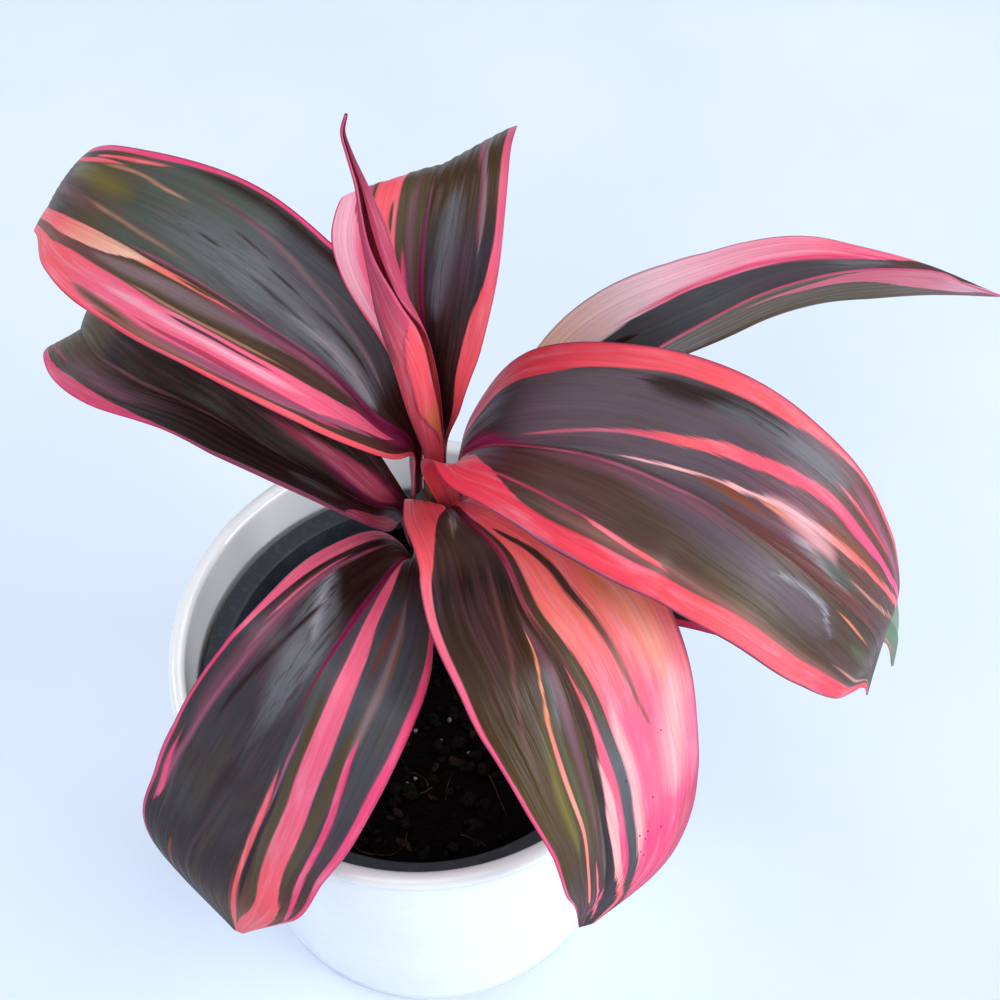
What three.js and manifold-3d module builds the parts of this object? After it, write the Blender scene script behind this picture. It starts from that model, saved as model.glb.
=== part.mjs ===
// Potted cordyline: one cane with nine striped leaves, in a dark nursery pot that stands in a white cachepot.
// Millimetres, +Z up. The origin is the centre of the cachepot's flat base; -Y is the front.
import * as THREE from "three";
import { mergeVertices } from "three/addons/utils/BufferGeometryUtils.js";
import Module from "manifold-3d";

const wasm = await Module();
wasm.setup();

// Driving dimensions
const CLEARANCE = 0.3; // gap between pieces that rest on or in each other

const CACHEPOT = {
  height: 140,
  baseRadius: 61,
  rimRadius: 74,
  wall: 4,
  floor: 6,
  lip: 5.5, // height of the rounded band at the rim
  lipProud: 1, // how far that band stands out
  foot: 4, // radius of the rounded edge at the base
};

const NURSERY = {
  height: 116,
  baseRadius: 50,
  rimRadius: 67,
  lipWidth: 6.5,
  lipDrop: 9, // height of the skirt that turns down from the lip
  wall: 1.6,
  holes: 6,
  holeRadius: 4,
  holeCircle: 36,
};

const SOIL = {
  depthBelowRim: 11,
  crown: 1.5, // how much the middle stands above the edge
};

const CANE = {
  path: [
    [-10, 6, 84],
    [-7, 6, 108],
    [-3, 6, 140],
    [2, 6, 175],
    [6, 6, 205],
    [6.5, 6, 220],
  ],
  radii: [5.6, 5.6, 5.2, 4.6, 4, 3.6], // at equal steps from the foot to the top
};

const BLADE = {
  thickness: 0.9,
  rib: 0.8, // how far the midrib stands out below
  ribWidth: 2.2,
  leastHalfWidth: 0.4, // at the very tip
  steps: 20, // along a leaf
  across: 8,
};

// Every leaf is a midrib with a left and a right half, seen from above looking out from the cane.
// path is the midrib. The other lists hold values at equal steps from the sheath to the tip: half widths in
// millimetres; fold, the angle at which a half rises from the midrib; curl, how far that half bends on its
// way to the margin; and roll, the turn of the whole blade about its midrib. Angles are in degrees. side is
// the direction of the right half in plan, where it isn't square to the line from sheath to tip.
const FLAT = [0, 0, 0];
const LEAVES = {
  leaf_spear: {
    path: [
      [5, 7, 221],
      [4.6, 7, 233],
      [1, 8, 253],
      [-2, 9, 272],
      [-5, 11, 289],
      [-6, 13, 303],
      [-7, 15, 315],
      [-8, 17, 325],
      [-10, 19, 333],
      [-11, 20, 339],
      [-10, 21, 343],
    ],
    side: 60,
    roll: FLAT,
    left: {
      width: [5.5, 9, 13.5, 15, 15, 13, 10, 2.5, 0.4],
      fold: FLAT,
      curl: [150, 180, 210, 220, 190, 130, 80, 60, 60],
    },
    right: {
      width: [5, 7, 9, 11, 12.5, 12, 10, 2.5, 0.4],
      fold: FLAT,
      curl: [150, 150, 115, 125, 150, 210, 250, 250, 200],
    },
  },
  leaf_upright: {
    path: [
      [6, 11.4, 214],
      [7, 12, 232],
      [7, 13, 250],
      [5, 15, 268],
      [4, 20, 283],
      [5, 29, 294],
      [7, 40, 299],
      [9, 48, 296],
      [9, 59, 283],
      [10, 69, 269],
      [10, 79, 253],
    ],
    roll: FLAT,
    left: {
      width: [3, 3.5, 6, 12, 25, 25, 23, 16, 0.5],
      fold: [0, 20, 40, 28, 5, -10, -14, -14, -14],
      curl: [35, 30, -20, -50, -50, -30, -20, -20, -20],
    },
    right: {
      width: [3, 3.5, 10, 17, 22, 22, 18, 12, 0.5],
      fold: [0, 20, 45, 38, 34, 32, 29, 25, 20],
      curl: [35, 30, -10, -20, -10, 0, 0, 0, 0],
    },
  },
  leaf_upper_left: {
    path: [
      [0.8, 7, 212],
      [0.8, 7, 226],
      [0, 7, 238],
      [-8, 5, 251],
      [-21, 12, 264],
      [-37, 21, 270],
      [-54, 35, 268],
      [-75, 54, 260],
      [-93, 74, 247],
      [-103, 89, 233],
      [-107, 105, 215],
      [-106, 112, 198],
    ],
    side: 66,
    roll: FLAT,
    left: {
      width: [3, 6, 26, 28.5, 26, 18.5, 9, 7, 0.5],
      fold: [0, 30, 40, 34, 28, 22, 10, 0, 0],
      curl: [35, 20, -25, -25, -20, -20, -20, -20, -20],
    },
    right: {
      width: [2.6, 5.5, 22, 28, 29, 26, 22, 17, 0.5],
      fold: [0, 20, 34, 34, 28, 25, 20, 10, 5],
      curl: [35, 10, -20, -20, -20, -20, -20, -20, -20],
    },
  },
  leaf_left_under: {
    path: [
      [-1.3, 7, 190],
      [-4, 6, 206],
      [-12, -3, 224],
      [-22, -1, 232],
      [-32, 3, 236],
      [-41, 8, 238],
      [-52, 16, 238],
      [-71, 30, 230],
      [-87, 48, 218],
      [-97, 68, 204],
      [-99, 81, 188],
    ],
    side: 72,
    roll: FLAT,
    left: {
      width: [3, 5, 14, 19.5, 21, 19.5, 15, 10, 0.5],
      fold: [0, 30, 38, 38, 38, 38, 35, 30, 25],
      curl: [40, 30, 0, 0, 0, 0, 0, 0, 0],
    },
    right: {
      width: [3.5, 5.5, 15, 21, 24, 25, 21, 13, 0.5],
      fold: [0, 40, 50, 40, 30, 20, 15, 15, 15],
      curl: [40, 0, -40, -40, -30, -20, -20, -20, -20],
    },
  },
  leaf_front_left: {
    path: [
      [1, 1, 184],
      [0, -5, 197],
      [-3, -12, 209],
      [-8, -24, 216],
      [-14, -37, 221],
      [-21, -50, 221],
      [-26, -57, 215],
      [-32, -64, 204],
      [-38, -70, 188],
      [-45, -75, 168],
      [-50.5, -81, 149],
      [-50.5, -83, 128],
    ],
    roll: FLAT,
    left: {
      width: [3.5, 6, 18, 26, 28, 27, 24, 20, 3],
      fold: [0, 30, 10, 0, 0, 0, 0, 0, 0],
      curl: [40, 20, -30, -20, -20, -20, -20, -20, -20],
    },
    right: {
      width: [3.5, 9, 20, 24, 28, 31, 32, 29, 0.5],
      fold: [0, 35, 25, 15, 5, 5, 5, 5, 5],
      curl: [40, -20, -40, -30, -20, -20, -20, -20, -20],
    },
  },
  leaf_front_right: {
    path: [
      [6, 0.6, 190],
      [8, -2, 205],
      [10, -1, 218],
      [15, -10, 225],
      [24, -24, 231],
      [30, -40, 232],
      [36, -50, 229],
      [41, -58, 220],
      [45, -66, 206],
      [49, -74, 186],
      [51, -82, 163],
      [45, -88, 144],
    ],
    roll: FLAT,
    left: {
      width: [3.5, 5, 18, 32, 33, 32, 30, 23, 5],
      fold: [0, 10, 15, 0, 0, 0, 0, 0, 0],
      curl: [40, -10, -30, -20, -10, -10, -10, -10, -10],
    },
    right: {
      width: [3.5, 10, 21, 25, 26.5, 23.5, 19, 14, 0.5],
      fold: [0, 30, 45, 30, 25, 35, 42, 35, 30],
      curl: [40, 0, -40, -40, -30, -30, -30, -30, -30],
    },
  },
  leaf_right: {
    path: [
      [12, 5, 206],
      [12, 5, 222],
      [13.2, 3.4, 235],
      [20, 0, 246],
      [27, -5, 254],
      [41, -12, 262],
      [51, -17, 265],
      [63, -22, 264],
      [72, -25, 261],
      [82, -29, 255],
      [92, -32, 247],
      [102, -34, 236],
      [112, -35, 223],
      [120, -34, 207],
      [123, -31, 191],
      [123, -34, 176],
    ],
    roll: [0, 0, 0, 0, -15, -15, -15, -10, 0],
    left: {
      width: [3, 10, 24, 29.5, 30.5, 28.5, 22, 14, 0.5],
      fold: [0, 10, 40, 32, 30, 25, 20, 10, 0],
      curl: [35, 0, -30, -25, -20, -20, -20, -20, 0],
    },
    right: {
      width: [3, 12, 20, 27.5, 27.5, 25.5, 23.5, 17, 0.5],
      fold: [0, 0, 20, 5, 0, 0, 0, 0, 0],
      curl: [35, 112, -10, -20, -20, -20, -20, -20, 0],
    },
  },
  leaf_right_back: {
    path: [
      [9, 7.6, 188],
      [15, 9, 199],
      [24, 11, 216],
      [37, 14, 234],
      [54, 20, 247],
      [70, 21, 257],
      [80, 22, 263],
      [90, 24, 268],
      [103, 27, 270],
      [118, 31, 267],
      [135, 39, 258],
      [156, 50, 243],
    ],
    roll: FLAT,
    left: {
      width: [3.5, 6, 15, 24, 27, 25, 18, 9, 0.5],
      fold: [0, 40, 35, 20, 10, 5, 5, 5, 5],
      curl: [40, 0, -20, -20, -20, -20, -10, 0, 0],
    },
    right: {
      width: [3.5, 5, 11, 17, 21, 20, 18, 7, 0.5],
      fold: [0, 40, 50, 62, 70, 72, 72, 72, 72],
      curl: [40, 0, 0, 0, 0, 0, 0, 0, 0],
    },
  },
  leaf_right_under: {
    path: [
      [6.8, 4, 172],
      [14, 0, 183],
      [32, -6, 198],
      [58, -12, 207],
      [84, -17, 206],
      [107, -18, 196],
      [127, -12, 182],
      [134, -13, 171],
      [134, -18, 162],
    ],
    roll: [0, 0, 0, 0, 0, 0, 40, 130, 170],
    left: {
      width: [3.5, 6, 12, 16, 18, 17, 13, 8, 0.5],
      fold: [0, 40, 30, 20, 20, 20, 20, 30, 30],
      curl: [40, 0, -20, -20, -20, -20, -20, -20, 0],
    },
    right: {
      width: [3.5, 6, 12, 16, 18, 17, 13, 8, 0.5],
      fold: [0, 40, 30, 20, 20, 20, 20, 30, 30],
      curl: [40, 0, -20, -20, -20, -20, -20, -20, 0],
    },
  },
};

const MATERIALS = {
  glazed_white: { color: 0xf4f5f6, roughness: 0.12, metalness: 0 },
  dark_plastic: { color: 0x333b44, roughness: 0.5, metalness: 0 },
  potting_mix: { color: 0x2a211b, roughness: 0.95, metalness: 0 },
  cane: { color: 0x8a6b4c, roughness: 0.75, metalness: 0 },
  leaf_dark: { color: 0x5a3f45, roughness: 0.35, metalness: 0 },
  leaf_pink: { color: 0xd0607a, roughness: 0.35, metalness: 0 },
};

// The value at share s (0 to 1) of a list of values at equal steps, joined by a smooth curve.
function along(values, s) {
  const last = values.length - 1;
  const i = Math.min(Math.floor(s * last), last - 1);
  const w = s * last - i;
  const slope = (k) => {
    const low = Math.max(k - 1, 0);
    const high = Math.min(k + 1, last);
    return (values[high] - values[low]) / (high - low);
  };
  const keep = (1 + 2 * w) * (1 - w) ** 2;
  const rise = w * (1 - w) ** 2;
  const fall = w ** 2 * (1 - w);
  return values[i] * keep + values[i + 1] * (1 - keep) + slope(i) * rise - slope(i + 1) * fall;
}

const vector = ([x, y, z]) => new THREE.Vector3(x, y, z);

// A closed solid through rings of points. Each ring runs once round its section, clockwise when it is seen
// looking along the solid, and has an even number of points. Strips across the section close the ends.
function loft(rings) {
  const count = rings[0].length;
  const half = count / 2;
  const index = [];
  const quad = (a, b, c, d) => index.push(a, b, c, a, c, d);
  for (let i = 0; i + 1 < rings.length; i++) {
    for (let k = 0; k < count; k++) {
      const next = (k + 1) % count;
      quad(i * count + k, i * count + next, (i + 1) * count + next, (i + 1) * count + k);
    }
  }
  const end = (rings.length - 1) * count;
  for (let k = 0; k + 1 < half; k++) {
    const across = count - 1 - k;
    quad(k, across, across - 1, k + 1);
    quad(end + k, end + k + 1, end + across - 1, end + across);
  }
  const geometry = new THREE.BufferGeometry().setFromPoints(rings.flat());
  geometry.setIndex(index);
  geometry.computeVertexNormals();
  return geometry;
}

// A leaf's frame at share s of its length: the midrib point, and the directions to the right half and up.
function leafFrame(leaf, curve, s) {
  const tangent = curve.getTangentAt(s);
  const aim = leaf.path.at(-1).map((value, axis) => value - leaf.path[0][axis]);
  const azimuth = THREE.MathUtils.degToRad(leaf.side ?? 0);
  const right =
    leaf.side === undefined
      ? vector(aim).cross(new THREE.Vector3(0, 0, 1)).normalize()
      : new THREE.Vector3(Math.cos(azimuth), Math.sin(azimuth), 0);
  right.addScaledVector(tangent, -tangent.dot(right)).normalize();
  const roll = THREE.MathUtils.degToRad(along(leaf.roll, s));
  right.applyAxisAngle(tangent, -roll);
  const up = new THREE.Vector3().crossVectors(right, tangent);
  return { middle: curve.getPointAt(s), right, up };
}

// The point of the blade's middle surface at share v (-1 left margin, 1 right margin) of the half width.
function bladePoint(leaf, frame, s, v) {
  const half = v < 0 ? leaf.left : leaf.right;
  const width = Math.max(along(half.width, s), BLADE.leastHalfWidth) * Math.abs(v);
  const turn = (THREE.MathUtils.degToRad(along(half.curl, s)) * Math.abs(v)) / 2;
  const rise = THREE.MathUtils.degToRad(along(half.fold, s)) + turn;
  const chord = turn === 0 ? width : (width * Math.sin(turn)) / turn;
  return frame.middle
    .clone()
    .addScaledVector(frame.right, Math.sign(v) * chord * Math.cos(rise))
    .addScaledVector(frame.up, chord * Math.sin(rise));
}

// One leaf: its middle surface thickened to both sides, with the midrib standing out below.
function leafGeometry(leaf) {
  const curve = new THREE.CatmullRomCurve3(leaf.path.map(vector));
  const nudge = 0.004; // step for the directions of the surface
  const rings = [];
  for (let i = 0; i <= BLADE.steps; i++) {
    const s = i / BLADE.steps;
    const before = Math.max(s - nudge, 0);
    const after = Math.min(s + nudge, 1);
    const frame = leafFrame(leaf, curve, s);
    const frames = [leafFrame(leaf, curve, before), leafFrame(leaf, curve, after)];
    const top = [];
    const bottom = [];
    for (let j = 0; j <= BLADE.across; j++) {
      const v = (2 * j) / BLADE.across - 1;
      const point = bladePoint(leaf, frame, s, v);
      const length = bladePoint(leaf, frames[1], after, v).sub(bladePoint(leaf, frames[0], before, v));
      const width = bladePoint(leaf, frame, s, v + nudge).sub(bladePoint(leaf, frame, s, v - nudge));
      const normal = width.cross(length).normalize();
      const reach = Math.abs(v) * along(v < 0 ? leaf.left.width : leaf.right.width, s);
      const rib = BLADE.rib * Math.exp(-((reach / BLADE.ribWidth) ** 2)) * (1 - s);
      top.push(point.clone().addScaledVector(normal, BLADE.thickness / 2));
      bottom.push(point.clone().addScaledVector(normal, -BLADE.thickness / 2 - rib));
    }
    rings.push([...top, ...bottom.reverse()]);
  }
  return loft(rings);
}

// A round rod along a path whose radius follows a list; extra widens it and shifts its foot down.
function caneGeometry(extra = 0) {
  const points = CANE.path.map(vector);
  points[0].z -= extra;
  const curve = new THREE.CatmullRomCurve3(points);
  const steps = 16;
  const sides = 20;
  const rings = [];
  for (let i = 0; i <= steps; i++) {
    const s = i / steps;
    const tangent = curve.getTangentAt(s);
    const right = new THREE.Vector3(0, 1, 0).cross(tangent).normalize();
    const up = new THREE.Vector3().crossVectors(right, tangent);
    const radius = along(CANE.radii, s) + extra;
    const ring = [];
    for (let k = 0; k < sides; k++) {
      const angle = (2 * Math.PI * (k + 0.5)) / sides;
      ring.push(
        curve
          .getPointAt(s)
          .addScaledVector(right, -radius * Math.cos(angle))
          .addScaledVector(up, radius * Math.sin(angle)),
      );
    }
    rings.push(ring);
  }
  return loft(rings);
}

// Turns a profile of [radius, height] pairs about the Z axis. It is listed anticlockwise, from the axis out.
function turned(profile, segments = 48) {
  const points = profile.map(([radius, height]) => new THREE.Vector2(radius, height));
  return new THREE.LatheGeometry(points, segments).rotateX(Math.PI / 2);
}

// Points of an arc in a profile, from one angle to another, in degrees.
function arc(centreRadius, centreHeight, radius, from, to, steps = 4) {
  return Array.from({ length: steps + 1 }, (_, i) => {
    const angle = THREE.MathUtils.degToRad(from + ((to - from) * i) / steps);
    return [centreRadius + radius * Math.cos(angle), centreHeight + radius * Math.sin(angle)];
  });
}

function cachepotGeometry() {
  const { height, baseRadius, rimRadius, wall, floor, lip, lipProud, foot } = CACHEPOT;
  const slope = (rimRadius - baseRadius) / height;
  const outerAt = (z) => baseRadius + slope * z;
  const roll = (wall + lipProud) / 2;
  const rollCentre = outerAt(height) + lipProud - roll;
  return turned([
    [0, 0],
    ...arc(outerAt(0) - foot, foot, foot, -90, 0),
    [outerAt(height - lip - lipProud), height - lip - lipProud],
    [outerAt(height - lip) + lipProud, height - lip],
    ...arc(rollCentre, height - roll, roll, 0, 180, 8),
    [outerAt(floor + foot) - wall, floor + foot],
    ...arc(outerAt(floor) - wall - foot, floor + foot, foot, 0, -90).slice(1),
    [0, floor],
  ]);
}

const nurseryFloor = CACHEPOT.floor + CLEARANCE;
const nurseryRim = nurseryFloor + NURSERY.height;
const soilTop = nurseryRim - SOIL.depthBelowRim;

// The outer radius of the nursery pot's wall at height z.
function nurseryWall(z) {
  const top = NURSERY.rimRadius - NURSERY.lipWidth + NURSERY.wall;
  return NURSERY.baseRadius + ((top - NURSERY.baseRadius) * (z - nurseryFloor)) / NURSERY.height;
}

function nurseryGeometry() {
  const { rimRadius, lipDrop, wall } = NURSERY;
  const underLip = nurseryRim - wall;
  const shell = turned([
    [0, nurseryFloor],
    [nurseryWall(nurseryFloor), nurseryFloor],
    [nurseryWall(underLip), underLip],
    [rimRadius - wall, underLip],
    [rimRadius - wall, nurseryRim - lipDrop],
    [rimRadius, nurseryRim - lipDrop],
    ...arc(rimRadius - wall, nurseryRim - wall, wall, 0, 90, 3),
    ...arc(nurseryWall(nurseryRim), nurseryRim - wall, wall, 90, 180, 3),
    [nurseryWall(nurseryFloor + wall) - wall, nurseryFloor + wall],
    [0, nurseryFloor + wall],
  ]);
  let pot = solid(shell);
  for (let k = 0; k < NURSERY.holes; k++) {
    const angle = (2 * Math.PI * k) / NURSERY.holes;
    const hole = new THREE.CylinderGeometry(NURSERY.holeRadius, NURSERY.holeRadius, 4 * wall, 20)
      .rotateX(Math.PI / 2)
      .translate(NURSERY.holeCircle * Math.cos(angle), NURSERY.holeCircle * Math.sin(angle), nurseryFloor);
    pot = pot.subtract(solid(hole));
  }
  return geometryOf(pot);
}

// The potting mix, less the room that the cane's foot takes.
function soilGeometry() {
  const bottom = nurseryFloor + NURSERY.wall + CLEARANCE;
  const radiusAt = (z) => nurseryWall(z) - NURSERY.wall - CLEARANCE;
  const rings = [0.85, 0.6, 0.3];
  const mix = turned([
    [0, bottom],
    [radiusAt(bottom), bottom],
    [radiusAt(soilTop), soilTop],
    ...rings.map((share) => [share * radiusAt(soilTop), soilTop + SOIL.crown * (1 - share ** 2)]),
    [0, soilTop + SOIL.crown],
  ]);
  return geometryOf(solid(mix).subtract(solid(caneGeometry(CLEARANCE))));
}

// A closed geometry as a manifold-3d solid, and back.
function solid(geometry) {
  const bare = geometry.clone();
  bare.deleteAttribute("normal");
  bare.deleteAttribute("uv");
  const merged = mergeVertices(bare, 1e-3);
  return new wasm.Manifold(
    new wasm.Mesh({
      numProp: 3,
      vertProperties: merged.attributes.position.array,
      triVerts: new Uint32Array(merged.index.array),
    }),
  );
}

function geometryOf(body) {
  const mesh = body.getMesh();
  const geometry = new THREE.BufferGeometry();
  geometry.setAttribute("position", new THREE.BufferAttribute(mesh.vertProperties, 3));
  geometry.setIndex(new THREE.BufferAttribute(mesh.triVerts, 1));
  geometry.computeVertexNormals();
  return geometry;
}

const plant = new THREE.Group();

function add(parent, name, geometry, look) {
  const mesh = new THREE.Mesh(geometry, new THREE.MeshStandardMaterial(MATERIALS[look]));
  mesh.name = name;
  parent.add(mesh);
}

const pots = new THREE.Group();
add(pots, "cachepot", cachepotGeometry(), "glazed_white");
add(pots, "nursery_pot", nurseryGeometry(), "dark_plastic");
add(pots, "soil", soilGeometry(), "potting_mix");
plant.add(pots);

const shoot = new THREE.Group();
add(shoot, "stem", caneGeometry(), "cane");
for (const [name, leaf] of Object.entries(LEAVES)) {
  add(shoot, name, leafGeometry(leaf), name === "leaf_spear" ? "leaf_pink" : "leaf_dark");
}
plant.add(shoot);

export default plant;
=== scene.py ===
import math

import bmesh
import bpy
import numpy as np
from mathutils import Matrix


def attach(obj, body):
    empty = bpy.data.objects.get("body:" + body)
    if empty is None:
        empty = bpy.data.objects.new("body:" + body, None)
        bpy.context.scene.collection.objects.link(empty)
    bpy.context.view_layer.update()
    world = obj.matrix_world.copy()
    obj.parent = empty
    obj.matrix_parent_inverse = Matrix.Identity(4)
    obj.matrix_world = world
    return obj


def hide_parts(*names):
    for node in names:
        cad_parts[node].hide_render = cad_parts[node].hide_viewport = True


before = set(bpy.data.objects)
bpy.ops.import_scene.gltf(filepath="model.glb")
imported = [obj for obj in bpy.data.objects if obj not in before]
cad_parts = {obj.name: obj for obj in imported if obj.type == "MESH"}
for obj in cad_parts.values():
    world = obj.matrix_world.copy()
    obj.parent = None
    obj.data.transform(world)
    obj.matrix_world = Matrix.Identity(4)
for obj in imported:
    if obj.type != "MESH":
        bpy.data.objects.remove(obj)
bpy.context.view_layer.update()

MM = 0.001
SEED = 11
# Where a streak's half width is listed as 0 it goes this far below nothing, so that it ends in a point.
FADE = 0.03

# Lengths below are in millimetres, and turned into metres where a mesh is made.

# Camera: the photograph looks down on the pot at this angle, from this far off.
ELEVATION = 57.6
DISTANCE = 785
AIM = (23.3, 140, 0)
LENS = 72
SENSOR_WIDTH = 36

# Colours as sRGB hex, named after what they look like on the plant.
COLOURS = {
    "red": "e03a4e",
    "coral": "f65c66",
    "salmon": "fa7e72",
    "hot_pink": "ec4678",
    "pink": "f26688",
    "pale_pink": "fab0c6",
    "peach": "f69c84",
    "cream": "fdcab2",
    "blush": "ffdce6",
    "shell": "fab4b4",
    # The next colour is a painted pale pink sheen on one blade.
    "dusty_pink": "d49a9e",
    "watermelon": "dc5d6c",
    "orange": "dc7e48",
    "tan": "a87860",
    "rust": "7c4028",
    "russet": "643a36",
    "clay": "8e5c56",
    "mauve": "96506c",
    "dusk": "6a4450",
    "rose": "c04a68",
    "crimson": "a83a58",
    "magenta": "84184e",
    "maroon": "481222",
    "moss": "6a6020",
    "umber": "221312",
    "brown": "46312a",
    "olive": "50432c",
    "loam": "3c2812",
    "bronze": "4a3a10",
    "green": "4c4e2c",
    "teal": "48524c",
    "charcoal": "2c2628",
    "slate": "38343c",
    "graphite": "44464c",
    "plum": "564852",
    "taupe": "7e686c",
    # The next two colours are for painted sheens: a grey-blue sheen and a paler painted highlight on the dark
    # blades.
    "steel": "606268",
    "mist": "94929c",
    "sage": "7c9480",
}

# Steps along and across, and how far the rib, groove, pleats and ripples stand off the blade and how wide.
BLADE = {"steps": 150, "crowding": 1.15, "across": 30, "thickness": 0.5, "rib": 0.9, "rib_width": 1.6,
         "groove": 0.25, "groove_width": 0.8, "pleat": 0.1, "veins_to_a_pleat": 5, "ripple": 0.35,
         "ripple_length": 38, "ripple_across": 25, "calm_below": 40}
VEINS = {"in_a_half": 24, "lean": 0.55, "lean_from": 0.1, "most_lean": 0.45, "halves_apart": 60}
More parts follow.
